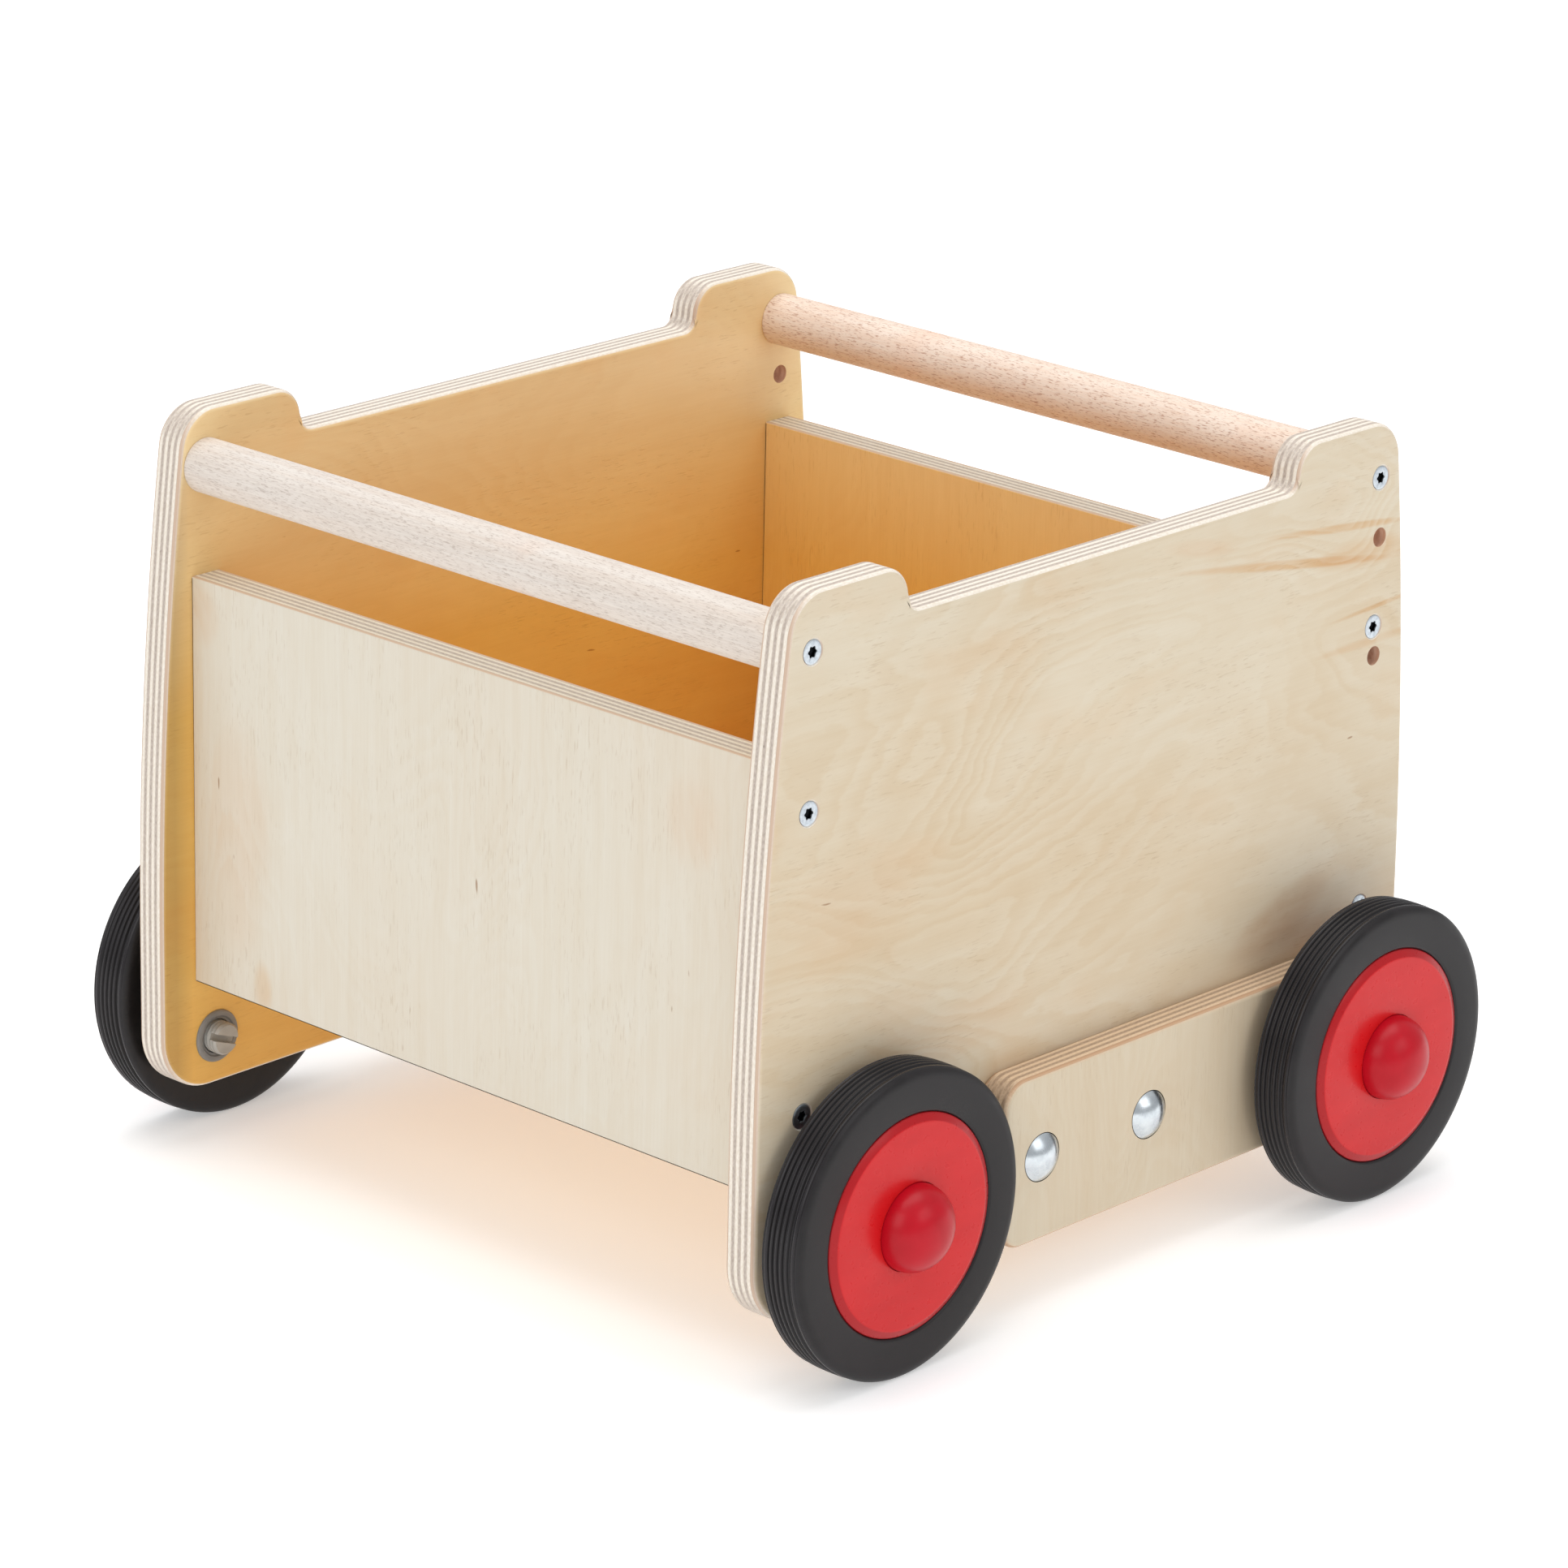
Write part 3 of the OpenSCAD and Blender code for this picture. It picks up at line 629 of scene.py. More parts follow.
# the axle boards' cut edges are tinted orange-brown: painted warm shade from the light bounced inside the box
for side, sign in SIDES.items():
    ply_board[side] = birch_ply(f"birch_ply_board_{side}", (2, 0, 1), sign * (board_lo.y + board_hi.y) / 2,
                                BOARD_THICK, PLIES, BOARD_PALE, BOARD_WARM, 17.3 + sign, figure=0.35,
                                edge_tint=(0.92, 0.76, 0.60))
floor_lo, floor_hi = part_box("floor_panel")
ply_floor = birch_ply("birch_ply_floor", (0, 1, 2), (floor_lo.z + floor_hi.z) / 2, floor_hi.z - floor_lo.z, 7,
                      INNER, INNER, 23.0)
wood_bar = {"front": beech("beech_bar_front", 4.0, (0.690, 0.632, 0.580), (0.665, 0.590, 0.525),
                           (0.38, 0.29, 0.24), 0.50),
            "rear": beech("beech_bar_rear", 6.0, (0.845, 0.705, 0.600), (0.785, 0.620, 0.505),
                          (0.45, 0.24, 0.16), 0.75)}
zinc = metal("zinc_screw", (0.64, 0.69, 0.73), 0.40, 900.0, 40.0, (0.50, 0.55, 0.60),
             shade_below=HALF_OUT - 0.35 * MM)
bright_zinc = metal("bright_zinc", (0.67, 0.72, 0.75), 0.24, 300.0, 30.0, (0.56, 0.61, 0.65), 0.12)
steel = metal("axle_steel", (0.60, 0.60, 0.61), 0.30, 500.0, 60.0, (0.50, 0.50, 0.51))
black = plastic("black_plastic", (0.030, 0.030, 0.031), (0.020, 0.020, 0.021), 0.5)
grey = plastic("grey_plastic", (0.235, 0.230, 0.220), (0.185, 0.180, 0.172), 0.40)
grey_screw = plastic("grey_plastic_screw", (0.42, 0.405, 0.370), (0.31, 0.300, 0.275), 0.30)
pad = plastic("pad_rubber", (0.035, 0.034, 0.034), (0.024, 0.024, 0.024), 0.75, strength=0.3)
nylon = plastic("white_nylon", (0.78, 0.77, 0.73), (0.70, 0.69, 0.65), 0.38)
tyre_black = rubber()
red_disc = lacquer()
red_cap = plastic("red_cap", (0.500, 0.003, 0.014), (0.450, 0.002, 0.011), 0.33, coat=0.02, grain=700.0,
                  strength=0.05, specular=0.26)


# ---------------------------------------------------------------- side panels
def side_outline():
    """The side panel seen from the right, with the material on the left of the path."""
    curve_r, start = 1.337, 0.073
    corner, ear_out, ear_in, fillet, root = 0.020, 0.014, 0.0105, 0.005, 0.086
    top = TOP - EAR_RISE
    cc = HALF_SIDE - curve_r
    oz = TOP - ear_out
    ox = cc + math.sqrt((curve_r - ear_out) ** 2 - (oz - start) ** 2)
    lean = math.degrees(math.atan2(oz - start, ox - cc))
    ix = root + fillet + ear_in
    half = [(0.0, LOW), (0.06, LOW)]
    half += arc(HALF_SIDE - corner, LOW + corner, corner, -90, 0, 14)
    half += arc(cc, start, curve_r, 0, lean, 24)
    half += arc(ox, oz, ear_out, lean, 90, 12)
    half += arc(ix, TOP - ear_in, ear_in, 90, 180, 12)
    half += arc(root, top + fillet, fillet, 0, -90, 9)
    half += [(0.04, top)]
    mirrored = [(-x, z) for x, z in reversed(half)]
    return thin_out(half + mirrored)


def circle_loop(x, z, r, steps=40):
    """A hole's loop, run so that the material is on its left."""
    return [(x + a, z - b) for a, b in circle(r, steps)]


def side_panel(side):
    sign = SIDES[side]
    bm = bmesh.new()
    inner, outer = 0.0, SIDE_THICK
    holes = []
    cone = 2.0 * MM
    for x in (-END_MID, END_MID):
        for z in (BAR_Z, *SCREW_Z):
            holes.append((circle_loop(x, z, SCREW_BORE_R),
                          [(0, inner), (0, outer - cone - 0.2 * MM), (cone + 0.05 * MM, outer - 0.2 * MM),
                           (cone + 0.25 * MM, outer)]))
    for x, z, r in HANDLE_HOLES:
        lip = rounded(inner, outer, 0.3 * MM, 3)
        holes.append((circle_loop(x, z, r - 0.3 * MM, 48), [(0.3 * MM - i, h) for i, h in lip]))
    holes.append((circle_loop(BRAKE_X, BRAKE_Z, 7.1 * MM), [(0, inner), (0, outer)]))
    for x in WHEEL_X.values():
        holes.append((circle_loop(x, WHEEL_R, AXLE_BORE_R), [(0, AXLE_WEB), (0, outer)]))
    for x in BOLT_X:
        holes.append((circle_loop(x, BOLT_Z, BOLT_BORE_R, 24), [(0, inner), (0, outer)]))
    flat = plate(bm, side_outline(), rounded(inner, outer, BOARD_SOFT, 6), holes,
                 lambda u, v, h: (u, sign * (HALF_IN + h), v))
    return finish_mesh(bm, f"side_{side}", ply_side[side], "chassis",
                       [f"side_panel_{side}"], flat)


for side in SIDES:
    side_panel(side)


# ---------------------------------------------------------------- end panels, floor, axle boards
def board(name, lo, hi, axes, material, node, soft, corner, holes=()):
    """A flat board. axes are (u, v, thickness); corner rounds the outline and soft its edges."""
    bm = bmesh.new()
    u0, u1, v0, v1 = lo[axes[0]], hi[axes[0]], lo[axes[1]], hi[axes[1]]
    w0, w1 = lo[axes[2]], hi[axes[2]]
    c = corner
    steps = 12 if corner > 3 * MM else 4
    outline = thin_out(arc(u1 - c, v0 + c, c, -90, 0, steps) + arc(u1 - c, v1 - c, c, 0, 90, steps)
                       + arc(u0 + c, v1 - c, c, 90, 180, steps) + arc(u0 + c, v0 + c, c, 180, 270, steps))

    def place(u, v, h):
        p = [0.0, 0.0, 0.0]
        p[axes[0]], p[axes[1]], p[axes[2]] = u, v, h
        return p

    section = rounded(w0, w1, soft, 5)
    through = [(loop, [(0, w0), (0, w1)]) for loop in holes]
    flat = plate(bm, outline, section, through, place)
    return finish_mesh(bm, name, material, "chassis", [node], flat)


for end in ENDS:
    lo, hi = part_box(f"end_panel_{end}")
    board(f"end_{end}", lo, hi, (1, 2, 0), ply_end[end], f"end_panel_{end}", 0.45 * MM,
          0.15 * MM)
board("floor", floor_lo, floor_hi, (0, 1, 2), ply_floor, "floor_panel", 0.5 * MM, 0.5 * MM)
for side in SIDES:
    lo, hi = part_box(f"axle_board_{side}")
    drilled = [circle_loop(x, BOLT_Z, BOLT_BORE_R, 24) for x in BOLT_X]
    drilled.append(circle_loop(WHEEL_X["rear"], WHEEL_R, AXLE_BORE_R))
    board(f"board_{side}", lo, hi, (0, 2, 1), ply_board[side], f"axle_board_{side}",
          BOARD_SOFT, 9 * MM, drilled)


# ---------------------------------------------------------------- hand bars
def hand_bar(end):
    lo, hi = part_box(f"handle_bar_{end}")
    x, z = (lo.x + hi.x) / 2, (lo.z + hi.z) / 2
    bm = bmesh.new()
    ease = 0.5 * MM
    profile = bend([(0.0, lo.y, 0), (BAR_R, lo.y, ease), (BAR_R, hi.y, ease), (0.0, hi.y, 0)])
    lathe(bm, profile, lambda a, b, w: (x + a, w, z + b), 72, closed=False)
    return finish_mesh(bm, f"bar_{end}", wood_bar[end], "chassis", [f"handle_bar_{end}"])


for end in ENDS:
    hand_bar(end)


# ---------------------------------------------------------------- fasteners
def star(r, steps=48):
    """A six-lobed driver recess."""
    return [(r * (1 + 0.13 * math.cos(6 * t)) * math.cos(t), r * (1 + 0.13 * math.cos(6 * t)) * math.sin(t))
            for t in (2 * math.pi * i / steps for i in range(steps))]


def screw_into(bm, place, length=45 * MM):
    """A countersunk screw: flat head with a soft rim, star recess, cone and threaded shank.
    Distances are 0 at the head's face."""
    steps = 48
    recess, floor_depth = 1.72 * MM, 1.5 * MM
    core, crest = 1.45 * MM, 1.98 * MM
    profile = [(3.20 * MM, 0.0), (3.60 * MM, -0.03 * MM), (3.84 * MM, -0.14 * MM), (3.88 * MM, -0.34 * MM),
               (2.05 * MM, -2.15 * MM), (1.95 * MM, -2.6 * MM)]
    w, pitch = -3.0 * MM, 1.8 * MM
    while w > -(length - 6 * MM):
        profile += [(core, w), (core, w - 0.5 * pitch), (crest, w - 0.7 * pitch), (core, w - 0.9 * pitch)]
        w -= pitch
    profile += [(core, -(length - 5 * MM)), (0.0, -length + 0.1 * MM)]
    rings = []
    for grown, d in ((0.97, -floor_depth), (1.0, -0.12 * MM), (1.09, -0.02 * MM)):
        rings.append([bm.verts.new(place(x * grown, y * grown, d)) for x, y in star(recess, steps)])
    for r, d in profile[:-1]:
        rings.append([bm.verts.new(place(x, y, d)) for x, y in circle(r, steps)])
    tip = bm.verts.new(place(0, 0, profile[-1][1]))
    bottom = bm.verts.new(place(0, 0, -floor_depth - 0.35 * MM))
    skin(bm, [[bottom], *rings, [tip]])


for name, heights in (("bar_screws", [BAR_Z]), ("end_panel_screws", SCREW_Z)):
    bm = bmesh.new()
    for side in SIDES:
        for x in (-END_MID, END_MID):
            for z in heights:
                screw_into(bm, outward(side, x, HALF_OUT - 0.06 * MM, z))
    finish_mesh(bm, f"{name}_set", zinc, "chassis", [name])


def carriage_bolt(bm, place):
    """A low domed head whose rim is rounded, a smooth neck and a threaded shank."""
    ball = (BOLT_R ** 2 + BOLT_HEAD ** 2) / (2 * BOLT_HEAD)
    dome = [(0.0, BOLT_HEAD)]
    for i in range(1, 19):
        r = BOLT_R * 0.965 * i / 18
        dome.append((r, BOLT_HEAD - 0.35 * MM * (i / 18) ** 2 - ball + math.sqrt(ball ** 2 - r ** 2)))
    rim = dome[-1][1]
    dome += [(BOLT_R * 0.99, rim * 0.62), (BOLT_R, rim * 0.35), (BOLT_R * 0.985, 0.0)]
    back, w = -(BOARD_THICK + SIDE_THICK + 8.1 * MM), -12 * MM
    shank = [(3.0 * MM, 0.0), (3.0 * MM, w)]
    while w > back + 1.2 * MM:
        shank += [(2.95 * MM, w), (2.6 * MM, w - 0.5 * MM), (2.95 * MM, w - 1.0 * MM)]
        w -= 1.0 * MM
    lathe(bm, dome + shank + [(2.4 * MM, back), (0.0, back)], place, 64, closed=False)


def hex_nut(bm, place, flats, low, high, bore):
    """A hexagon nut with chamfered corners and a chamfered bore."""
    steps = 72
    corner = flats / math.cos(math.pi / 6)

    def hexagon(limit):
        ring = []
        for i in range(steps):
            t = 2 * math.pi * i / steps
            local = (t + math.pi / 6) % (math.pi / 3) - math.pi / 6
            ring.append((min(flats / math.cos(local), limit), t))
        return ring

    levels = [(bore + 0.4 * MM, low), (flats * 0.98, low), (flats * 1.06, low + 0.35 * MM),
              (corner, low + 0.8 * MM), (corner, high - 0.8 * MM), (flats * 1.06, high - 0.35 * MM),
              (flats * 0.98, high), (bore + 0.4 * MM, high), (bore, high - 0.4 * MM), (bore, low + 0.4 * MM)]
    rings = []
    for limit, w in levels:
        rings.append([bm.verts.new(place(r * math.cos(t), r * math.sin(t), w)) for r, t in hexagon(limit)])
    skin(bm, rings + rings[:1])


WASHER = 1.6 * MM
washer_ring = bend([(3.2 * MM, -WASHER, 0.15 * MM), (7 * MM, -WASHER, 0.35 * MM), (7 * MM, 0.0, 0.15 * MM),
                    (3.2 * MM, 0.0, 0.15 * MM)], 3)
bolts, washers, nuts = bmesh.new(), bmesh.new(), bmesh.new()
for side in SIDES:
    for x in BOLT_X:
        carriage_bolt(bolts, outward(side, x, HALF_OUT + BOARD_THICK, BOLT_Z))
        inside = outward(side, x, HALF_IN, BOLT_Z)
        lathe(washers, washer_ring, inside, 56)
        hex_nut(nuts, inside, 5 * MM, -6.6 * MM, -WASHER, 3.05 * MM)
for name, bm in (("bolt", bolts), ("washer", washers), ("nut", nuts)):
    finish_mesh(bm, f"carriage_{name}_set", bright_zinc, "chassis", [f"carriage_{name}s"])

# ---------------------------------------------------------------- axles and their small parts
WHEELS = [(end, side) for end in ENDS for side in SIDES]


def stand(end):
    """How far from the middle plane the surface is that an axle stands out of."""
    return HALF_OUT + (BOARD_THICK if end == "rear" else 0.0)


spacers, retainers = bmesh.new(), bmesh.new()
for end, side in WHEELS:
    deep = stand(end) - HALF_IN - 2 * MM
    place = outward(side, WHEEL_X[end], stand(end), WHEEL_R)
    bm = bmesh.new()
    tip = DISC_OUT + 3.5 * MM
    profile = bend([(0.0, -deep, 0), (AXLE_R, -deep, 0.5 * MM), (AXLE_R, tip - 1.1 * MM, 0.1 * MM),
                    (3.2 * MM, tip, 0.2 * MM), (0.0, tip, 0)])
    lathe(bm, profile, place, 64, closed=False)
    finish_mesh(bm, f"axle_pin_{end}_{side}", steel, "chassis", [f"axle_{end}_{side}"])
    gap = HUB - 0.3 * MM
    lathe(spacers, bend([(SLEEVE_BORE, 0.0, 0.1 * MM), (8 * MM, 0.0, 0.3 * MM), (8 * MM, gap, 0.3 * MM),
                         (SLEEVE_BORE, gap, 0.1 * MM)], 3), place, 56)
    dished = bend([(SLEEVE_BORE, 0.0, 0.05 * MM), (8 * MM, 0.0, 0.2 * MM), (8 * MM, 0.7 * MM, 0.2 * MM),
                   (5.2 * MM, 1.0 * MM, 0.2 * MM), (SLEEVE_BORE, 0.9 * MM, 0.05 * MM)], 3)
    lathe(retainers, [(r, DISC_OUT + w) for r, w in dished], place, 56)
finish_mesh(spacers, "axle_spacer_set", black, "chassis", ["axle_spacers"])
finish_mesh(retainers, "axle_retainer_set", steel, "chassis", ["axle_retainers"])


# ---------------------------------------------------------------- wheels
def tyre_profile(lo, hi):
    """Ribbed tread, rounded shoulders and flat sidewalls; lo and hi are the sidewalls' places."""
    disc_r = 35.8 * MM
    grooves, groove_w, groove_d = 5, 1.1 * MM, 0.95 * MM
    shoulder, round_r, round_w = 1.8 * MM, 4.0 * MM, 2.2 * MM
    flat_r = WHEEL_R - round_r
    turn = [math.pi / 2 * i / 8 for i in range(1, 8)]
    curve = [(flat_r + round_r * math.sin(a) * 0.985, 0.05 * MM + round_w * (1 - math.cos(a))) for a in turn]
    curve = [(r, w) for r, w in curve if w < shoulder]
    points = [(disc_r + 0.6 * MM, lo + 0.12 * MM), (disc_r + 1.2 * MM, lo), (flat_r, lo + 0.05 * MM)]
    points += [(r, lo + w) for r, w in curve]
    rib = (hi - lo - 2 * shoulder) / (grooves + 1)
    for k in range(grooves + 1):
        a, b = lo + shoulder + k * rib, lo + shoulder + (k + 1) * rib
        if k:
            a += groove_w / 2
        if k < grooves:
            b -= groove_w / 2
        crown = WHEEL_R - 0.25 * MM * abs((k - grooves / 2) / (grooves / 2)) ** 3
        for share in (0.0, 0.12, 0.3, 0.5, 0.7, 0.88, 1.0):
            points.append((crown - 0.36 * MM * abs(2 * share - 1) ** 2.2, a + (b - a) * share))
        if k < grooves:
            mid = b + groove_w / 2
            points += [(crown - groove_d * 0.80, b + 0.12 * MM), (crown - groove_d, mid - groove_w * 0.18),
                       (crown - groove_d, mid + groove_w * 0.18),
                       (crown - groove_d * 0.80, b + groove_w - 0.12 * MM)]
    points += [(r, hi - w) for r, w in reversed(curve)]
    points += [(flat_r, hi - 0.05 * MM), (disc_r + 1.2 * MM, hi), (disc_r + 0.6 * MM, hi - 0.12 * MM)]
    mid = (lo + hi) / 2
    points += [(disc_r, hi - 0.7 * MM), (disc_r, mid + 2.05 * MM), (disc_r - 2.9 * MM, mid + 1.95 * MM),
               (disc_r - 2.9 * MM, mid - 1.95 * MM), (disc_r, mid - 2.05 * MM), (disc_r, lo + 0.7 * MM)]
    return points


def wheel(end, side):
    body, tag = f"wheel_{end}_{side}", f"{end}_{side}"
    place = outward(side, WHEEL_X[end], stand(end), WHEEL_R)
    disc_r, seat = 35.75 * MM, DISC_OUT - SEAT_DEPTH

    bm = bmesh.new()
    lathe(bm, tyre_profile(TYRE_IN, TYRE_OUT), place, 160)
    finish_mesh(bm, f"rubber_{tag}", tyre_black, body, [f"tyre_{tag}"], sharp=50)

    bm = bmesh.new()
    mid = (TYRE_IN + TYRE_OUT) / 2
    corners = [(6.05 * MM, DISC_IN, 0.1 * MM), (disc_r - 1.6 * MM, DISC_IN, 0.8 * MM),
               (disc_r, DISC_IN + 0.9 * MM, 0.5 * MM), (disc_r, mid - 2 * MM, 0.1 * MM),
               (disc_r - 3 * MM, mid - 2 * MM, 0), (disc_r - 3 * MM, mid + 2 * MM, 0),
               (disc_r, mid + 2 * MM, 0.1 * MM), (disc_r, DISC_OUT - 1.35 * MM, 0.5 * MM),
               (disc_r - 2.7 * MM, DISC_OUT - 0.05 * MM, 0.5 * MM), (CAP_R + 0.15 * MM, DISC_OUT, 0.12 * MM),
               (CAP_R + 0.15 * MM, seat, 0), (6.05 * MM, seat, 0.1 * MM)]
    lathe(bm, bend(corners, 5), place, 160)
    finish_mesh(bm, f"disc_{tag}", red_disc, body, [f"wheel_disc_{tag}"])

    bm = bmesh.new()
    end_w = DISC_OUT - 0.3 * MM
    lathe(bm, bend([(SLEEVE_BORE, HUB, 0.2 * MM), (10 * MM, HUB, 0.4 * MM), (10 * MM, DISC_IN, 0),
                    (6 * MM, DISC_IN, 0), (6 * MM, end_w, 0.2 * MM), (SLEEVE_BORE, end_w, 0.2 * MM)], 3),
          place, 64)
    finish_mesh(bm, f"bush_{tag}", nylon, body, [f"wheel_bush_{tag}"])

    # the cap: a superellipse dome over a hollow, so that its sides stay steep and its crown flat
    bm = bmesh.new()
    tall, wall, power = 11.5 * MM, 3 * MM, 2.15
    hollow_r = CAP_R - 2.65 * MM
    dome = [(CAP_R, seat), (CAP_R, DISC_OUT)]
    for i in range(1, 25):
        t = math.pi / 2 * i / 24
        dome.append((CAP_R * math.cos(t) ** (2 / power), DISC_OUT + tall * math.sin(t) ** (2 / power)))
    dome[-1] = (0.0, DISC_OUT + tall)
    hollow = [(0.0, DISC_OUT + tall - wall)]
    for i in range(8, -1, -1):
        t = math.pi / 2 * i / 9
        hollow.append((hollow_r * math.cos(t) ** 0.8, DISC_OUT + (tall - wall) * math.sin(t) ** 0.8))
    hollow.append((hollow_r, seat))
    lathe(bm, hollow + dome, place, 96, closed=False)
    finish_mesh(bm, f"cap_{tag}", red_cap, body, [f"hub_cap_{tag}"])


for end, side in WHEELS:
    wheel(end, side)


# ---------------------------------------------------------------- brakes
def brake_place(side):
    return outward(side, BRAKE_X, HALF_OUT, BRAKE_Z)


def brake_sleeve(side):
    """The flanged bush that the brake screw turns in."""
    bm = bmesh.new()
    face, bore = -SIDE_THICK, 5.55 * MM
    rim = face - BRAKE_FLANGE + 0.02 * MM
    lathe(bm, bend([(bore, 0.0, 0.1 * MM), (7 * MM, 0.0, 0.2 * MM), (7 * MM, face, 0),
                    (8.95 * MM, face, 0.05 * MM), (8.9 * MM, rim + 0.35 * MM, 0.3 * MM),
                    (8.2 * MM, rim, 0.3 * MM), (7.0 * MM, rim, 0.2 * MM),
                    (6.6 * MM, rim + 0.55 * MM, 0.2 * MM), (5.9 * MM, rim + 0.6 * MM, 0.1 * MM),
                    (bore, rim + 1.2 * MM, 0.2 * MM)], 4),
          brake_place(side), 72)
    finish_mesh(bm, f"brake_sleeve_{side}", grey, "chassis", [f"brake_bush_{side}"])


def brake_screw(side):
    """A helical thread, a chamfered end and a driver slot cut across it."""
    place = brake_place(side)
    bm = bmesh.new()
    back, front, r = -SIDE_THICK - BRAKE_FLANGE - 4.15 * MM, -1.95 * MM, 5.45 * MM
    pitch, depth, segments = 1.5 * MM, 0.75 * MM, 72
    rows = int((front - back) / (0.15 * MM))
    grid = []
    for k in range(rows + 1):
        w = back + (front - back) * k / rows
        ring = []
        run_in = min(1.0, max(0.0, (w - back - 0.7 * MM) / (0.5 * MM)), max(0.0, (front - w) / (1.0 * MM)))
        chamfer = max(0.0, 0.7 * MM - (w - back)) * 0.9
        for i in range(segments):
            t = 2 * math.pi * i / segments
            phase = ((w - back) / pitch + i / segments) % 1.0
            groove = depth * max(0.0, 1 - abs(phase - 0.5) / 0.34)
            rad = r - groove * run_in - chamfer
            ring.append(bm.verts.new(place(rad * math.cos(t), rad * math.sin(t), w)))
        grid.append(ring)
    skin(bm, grid)
    bm.faces.new(grid[0])
    bm.faces.new(grid[-1])
    screw = finish_mesh(bm, f"brake_thread_{side}", grey_screw, f"brake_screw_{side}",
                        [f"brake_screw_{side}"])
    bm = bmesh.new()
    half, deep, lean = 1.2 * MM, 3.0 * MM, math.radians(-20 * SIDES[side])
    corners = [place(a * math.cos(lean) - b * math.sin(lean), a * math.sin(lean) + b * math.cos(lean), w)
               for w in (back - 2 * MM, back + deep)
               for a, b in ((-9 * MM, -half), (9 * MM, -half), (9 * MM, half), (-9 * MM, half))]
    verts = [bm.verts.new(c) for c in corners]
    for quad in ((0, 1, 2, 3), (4, 5, 6, 7), (0, 1, 5, 4), (1, 2, 6, 5), (2, 3, 7, 6), (3, 0, 4, 7)):
        bm.faces.new([verts[i] for i in quad])
    bmesh.ops.recalc_face_normals(bm, faces=bm.faces)
    mesh = bpy.data.meshes.new("slot_tool")
    bm.to_mesh(mesh)
    bm.free()
    tool = link("slot_tool", mesh)
    cut = screw.modifiers.new("slot", "BOOLEAN")
    cut.operation, cut.solver, cut.object = "DIFFERENCE", "EXACT", tool
    ease = screw.modifiers.new("ease", "BEVEL")
    ease.width, ease.segments, ease.limit_method, ease.angle_limit = 0.12 * MM, 2, "ANGLE", math.radians(50)
    bpy.context.view_layer.update()
    shaped = bpy.data.meshes.new_from_object(screw.evaluated_get(bpy.context.evaluated_depsgraph_get()))
    screw.modifiers.clear()
    screw.data = shaped
    bpy.data.objects.remove(tool)


def brake_shoe(side):
    bm = bmesh.new()
    pad_r, root = 5 * MM, -1.9 * MM
    lathe(bm, bend([(0.0, root, 0), (4.6 * MM, root, 0.3 * MM), (pad_r, -1.3 * MM, 0.3 * MM),
                    (pad_r, PAD_FACE - 0.8 * MM, 0.4 * MM), (4.2 * MM, PAD_FACE, 0.4 * MM),
                    (0.0, PAD_FACE, 0)], 3), brake_place(side), 56, closed=False)
    finish_mesh(bm, f"brake_shoe_{side}", pad, f"brake_pad_{side}", [f"brake_pad_{side}"])


for side in SIDES:
    brake_sleeve(side)
    brake_screw(side)
    brake_shoe(side)


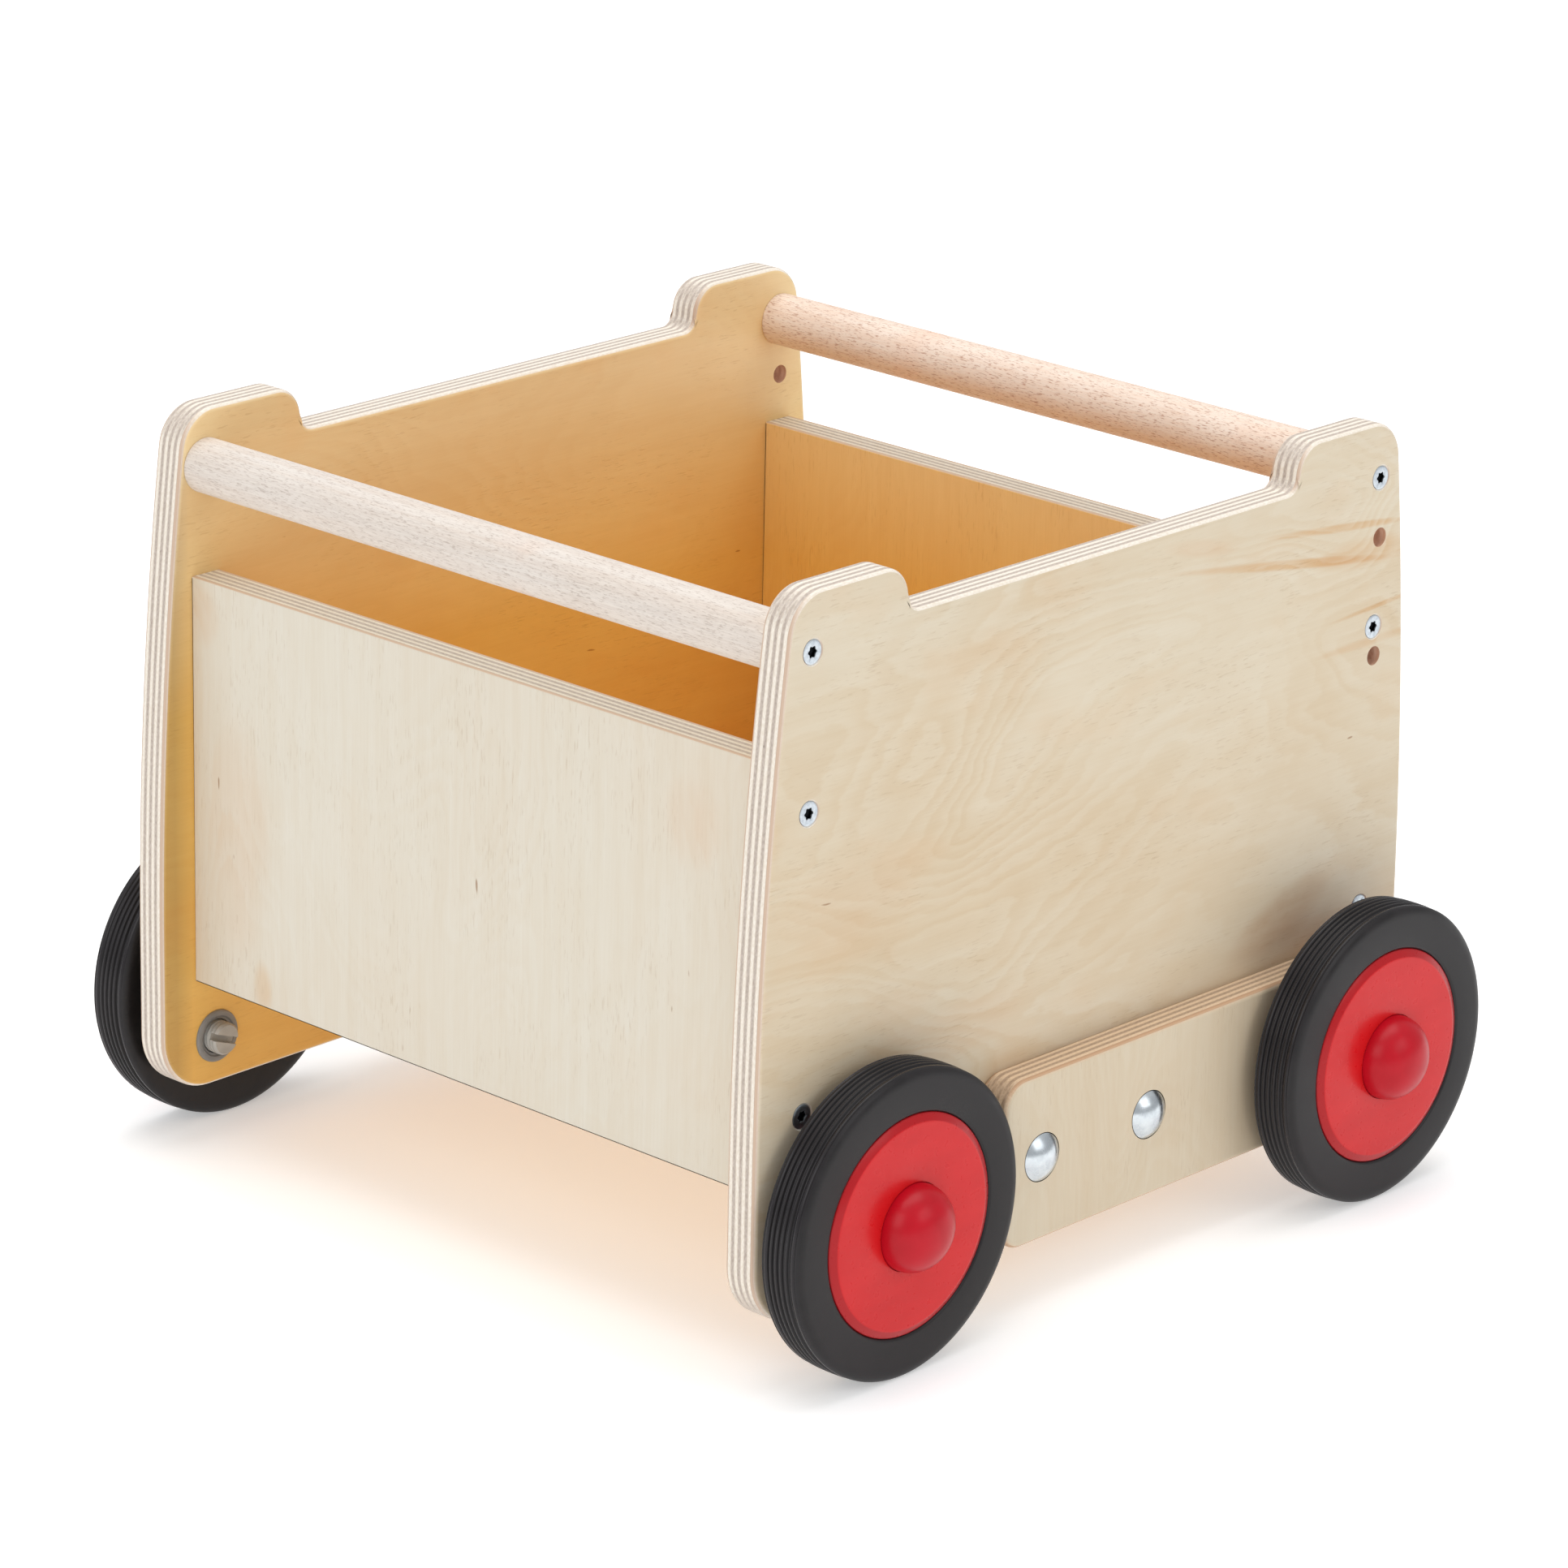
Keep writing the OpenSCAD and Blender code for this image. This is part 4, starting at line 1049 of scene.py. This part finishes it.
# ---------------------------------------------------------------- stage, light and camera
def stage():
    mesh = bpy.data.meshes.new("ground")
    reach = 9.0
    corners = [(x * reach, y * reach, 0) for x, y in ((-1, -1), (1, -1), (1, 1), (-1, 1))]
    mesh.from_pydata(corners, [], [(0, 1, 2, 3)])
    ground = link("ground", mesh)
    s = Shader("ground_paint")
    s.set(Base_Color=(0.80, 0.80, 0.80, 1.0), Roughness=0.9, Specular_IOR_Level=0.1)
    s.set(Emission_Color=(1.0, 1.0, 1.0, 1.0), Emission_Strength=0.38)
    mesh.materials.append(s.mat)

    world = bpy.data.worlds.new("studio")
    bpy.context.scene.world = world
    world.use_nodes = True
    t = world.node_tree
    t.nodes.clear()
    out = t.nodes.new("ShaderNodeOutputWorld")
    back = t.nodes.new("ShaderNodeBackground")
    coord = t.nodes.new("ShaderNodeTexCoord")
    split = t.nodes.new("ShaderNodeSeparateXYZ")
    ramp = t.nodes.new("ShaderNodeValToRGB")
    ramp.color_ramp.elements[0].position, ramp.color_ramp.elements[0].color = 0.0, (0.62, 0.63, 0.65, 1)
    ramp.color_ramp.elements[1].position, ramp.color_ramp.elements[1].color = 0.85, (1.0, 1.0, 1.0, 1)
    t.links.new(coord.outputs["Generated"], split.inputs[0])
    t.links.new(split.outputs["Z"], ramp.inputs[0])
    t.links.new(ramp.outputs[0], back.inputs[0])
    back.inputs[1].default_value = 0.72
    t.links.new(back.outputs[0], out.inputs[0])

    def soft_box(name, at, aim, size, power):
        light = bpy.data.lights.new(name, "AREA")
        light.shape, light.energy = "RECTANGLE", power
        light.size, light.size_y = size
        obj = link(name, light)
        obj.location = at
        obj.rotation_euler = (Vector(aim) - Vector(at)).to_track_quat("-Z", "Y").to_euler()

    soft_box("top_box", (0.1, 0.3, 2.4), (0, 0, 0.1), (2.4, 2.4), 36)
    soft_box("front_box", (-2.1, -0.5, 1.3), (0, 0, 0.12), (1.3, 1.3), 9.3)
    soft_box("side_box", (0.4, -2.4, 1.4), (0, 0, 0.12), (1.5, 1.2), 9)


stage()

camera_data = bpy.data.cameras.new("photo_camera")
camera_data.sensor_width = 36.0
camera_data.sensor_fit = "HORIZONTAL"
camera_data.lens = 149.94
camera_data.clip_end = 40.0
camera = link("photo_camera", camera_data)
turn, lift, roll = math.radians(-47.045), math.radians(19.042), math.radians(1.253)
back = Vector((math.sin(turn) * math.cos(lift), -math.cos(turn) * math.cos(lift), math.sin(lift)))
right = Vector((math.cos(turn), math.sin(turn), 0.0))
up = back.cross(right)
right2 = right * math.cos(roll) + up * math.sin(roll)
up2 = up * math.cos(roll) - right * math.sin(roll)
pose = Matrix((right2, up2, back)).transposed().to_4x4()
pose.translation = (-1.4657, -1.3689, 0.8182)
camera.matrix_world = pose
bpy.context.scene.camera = camera
bpy.context.scene.view_settings.view_transform = "Standard"
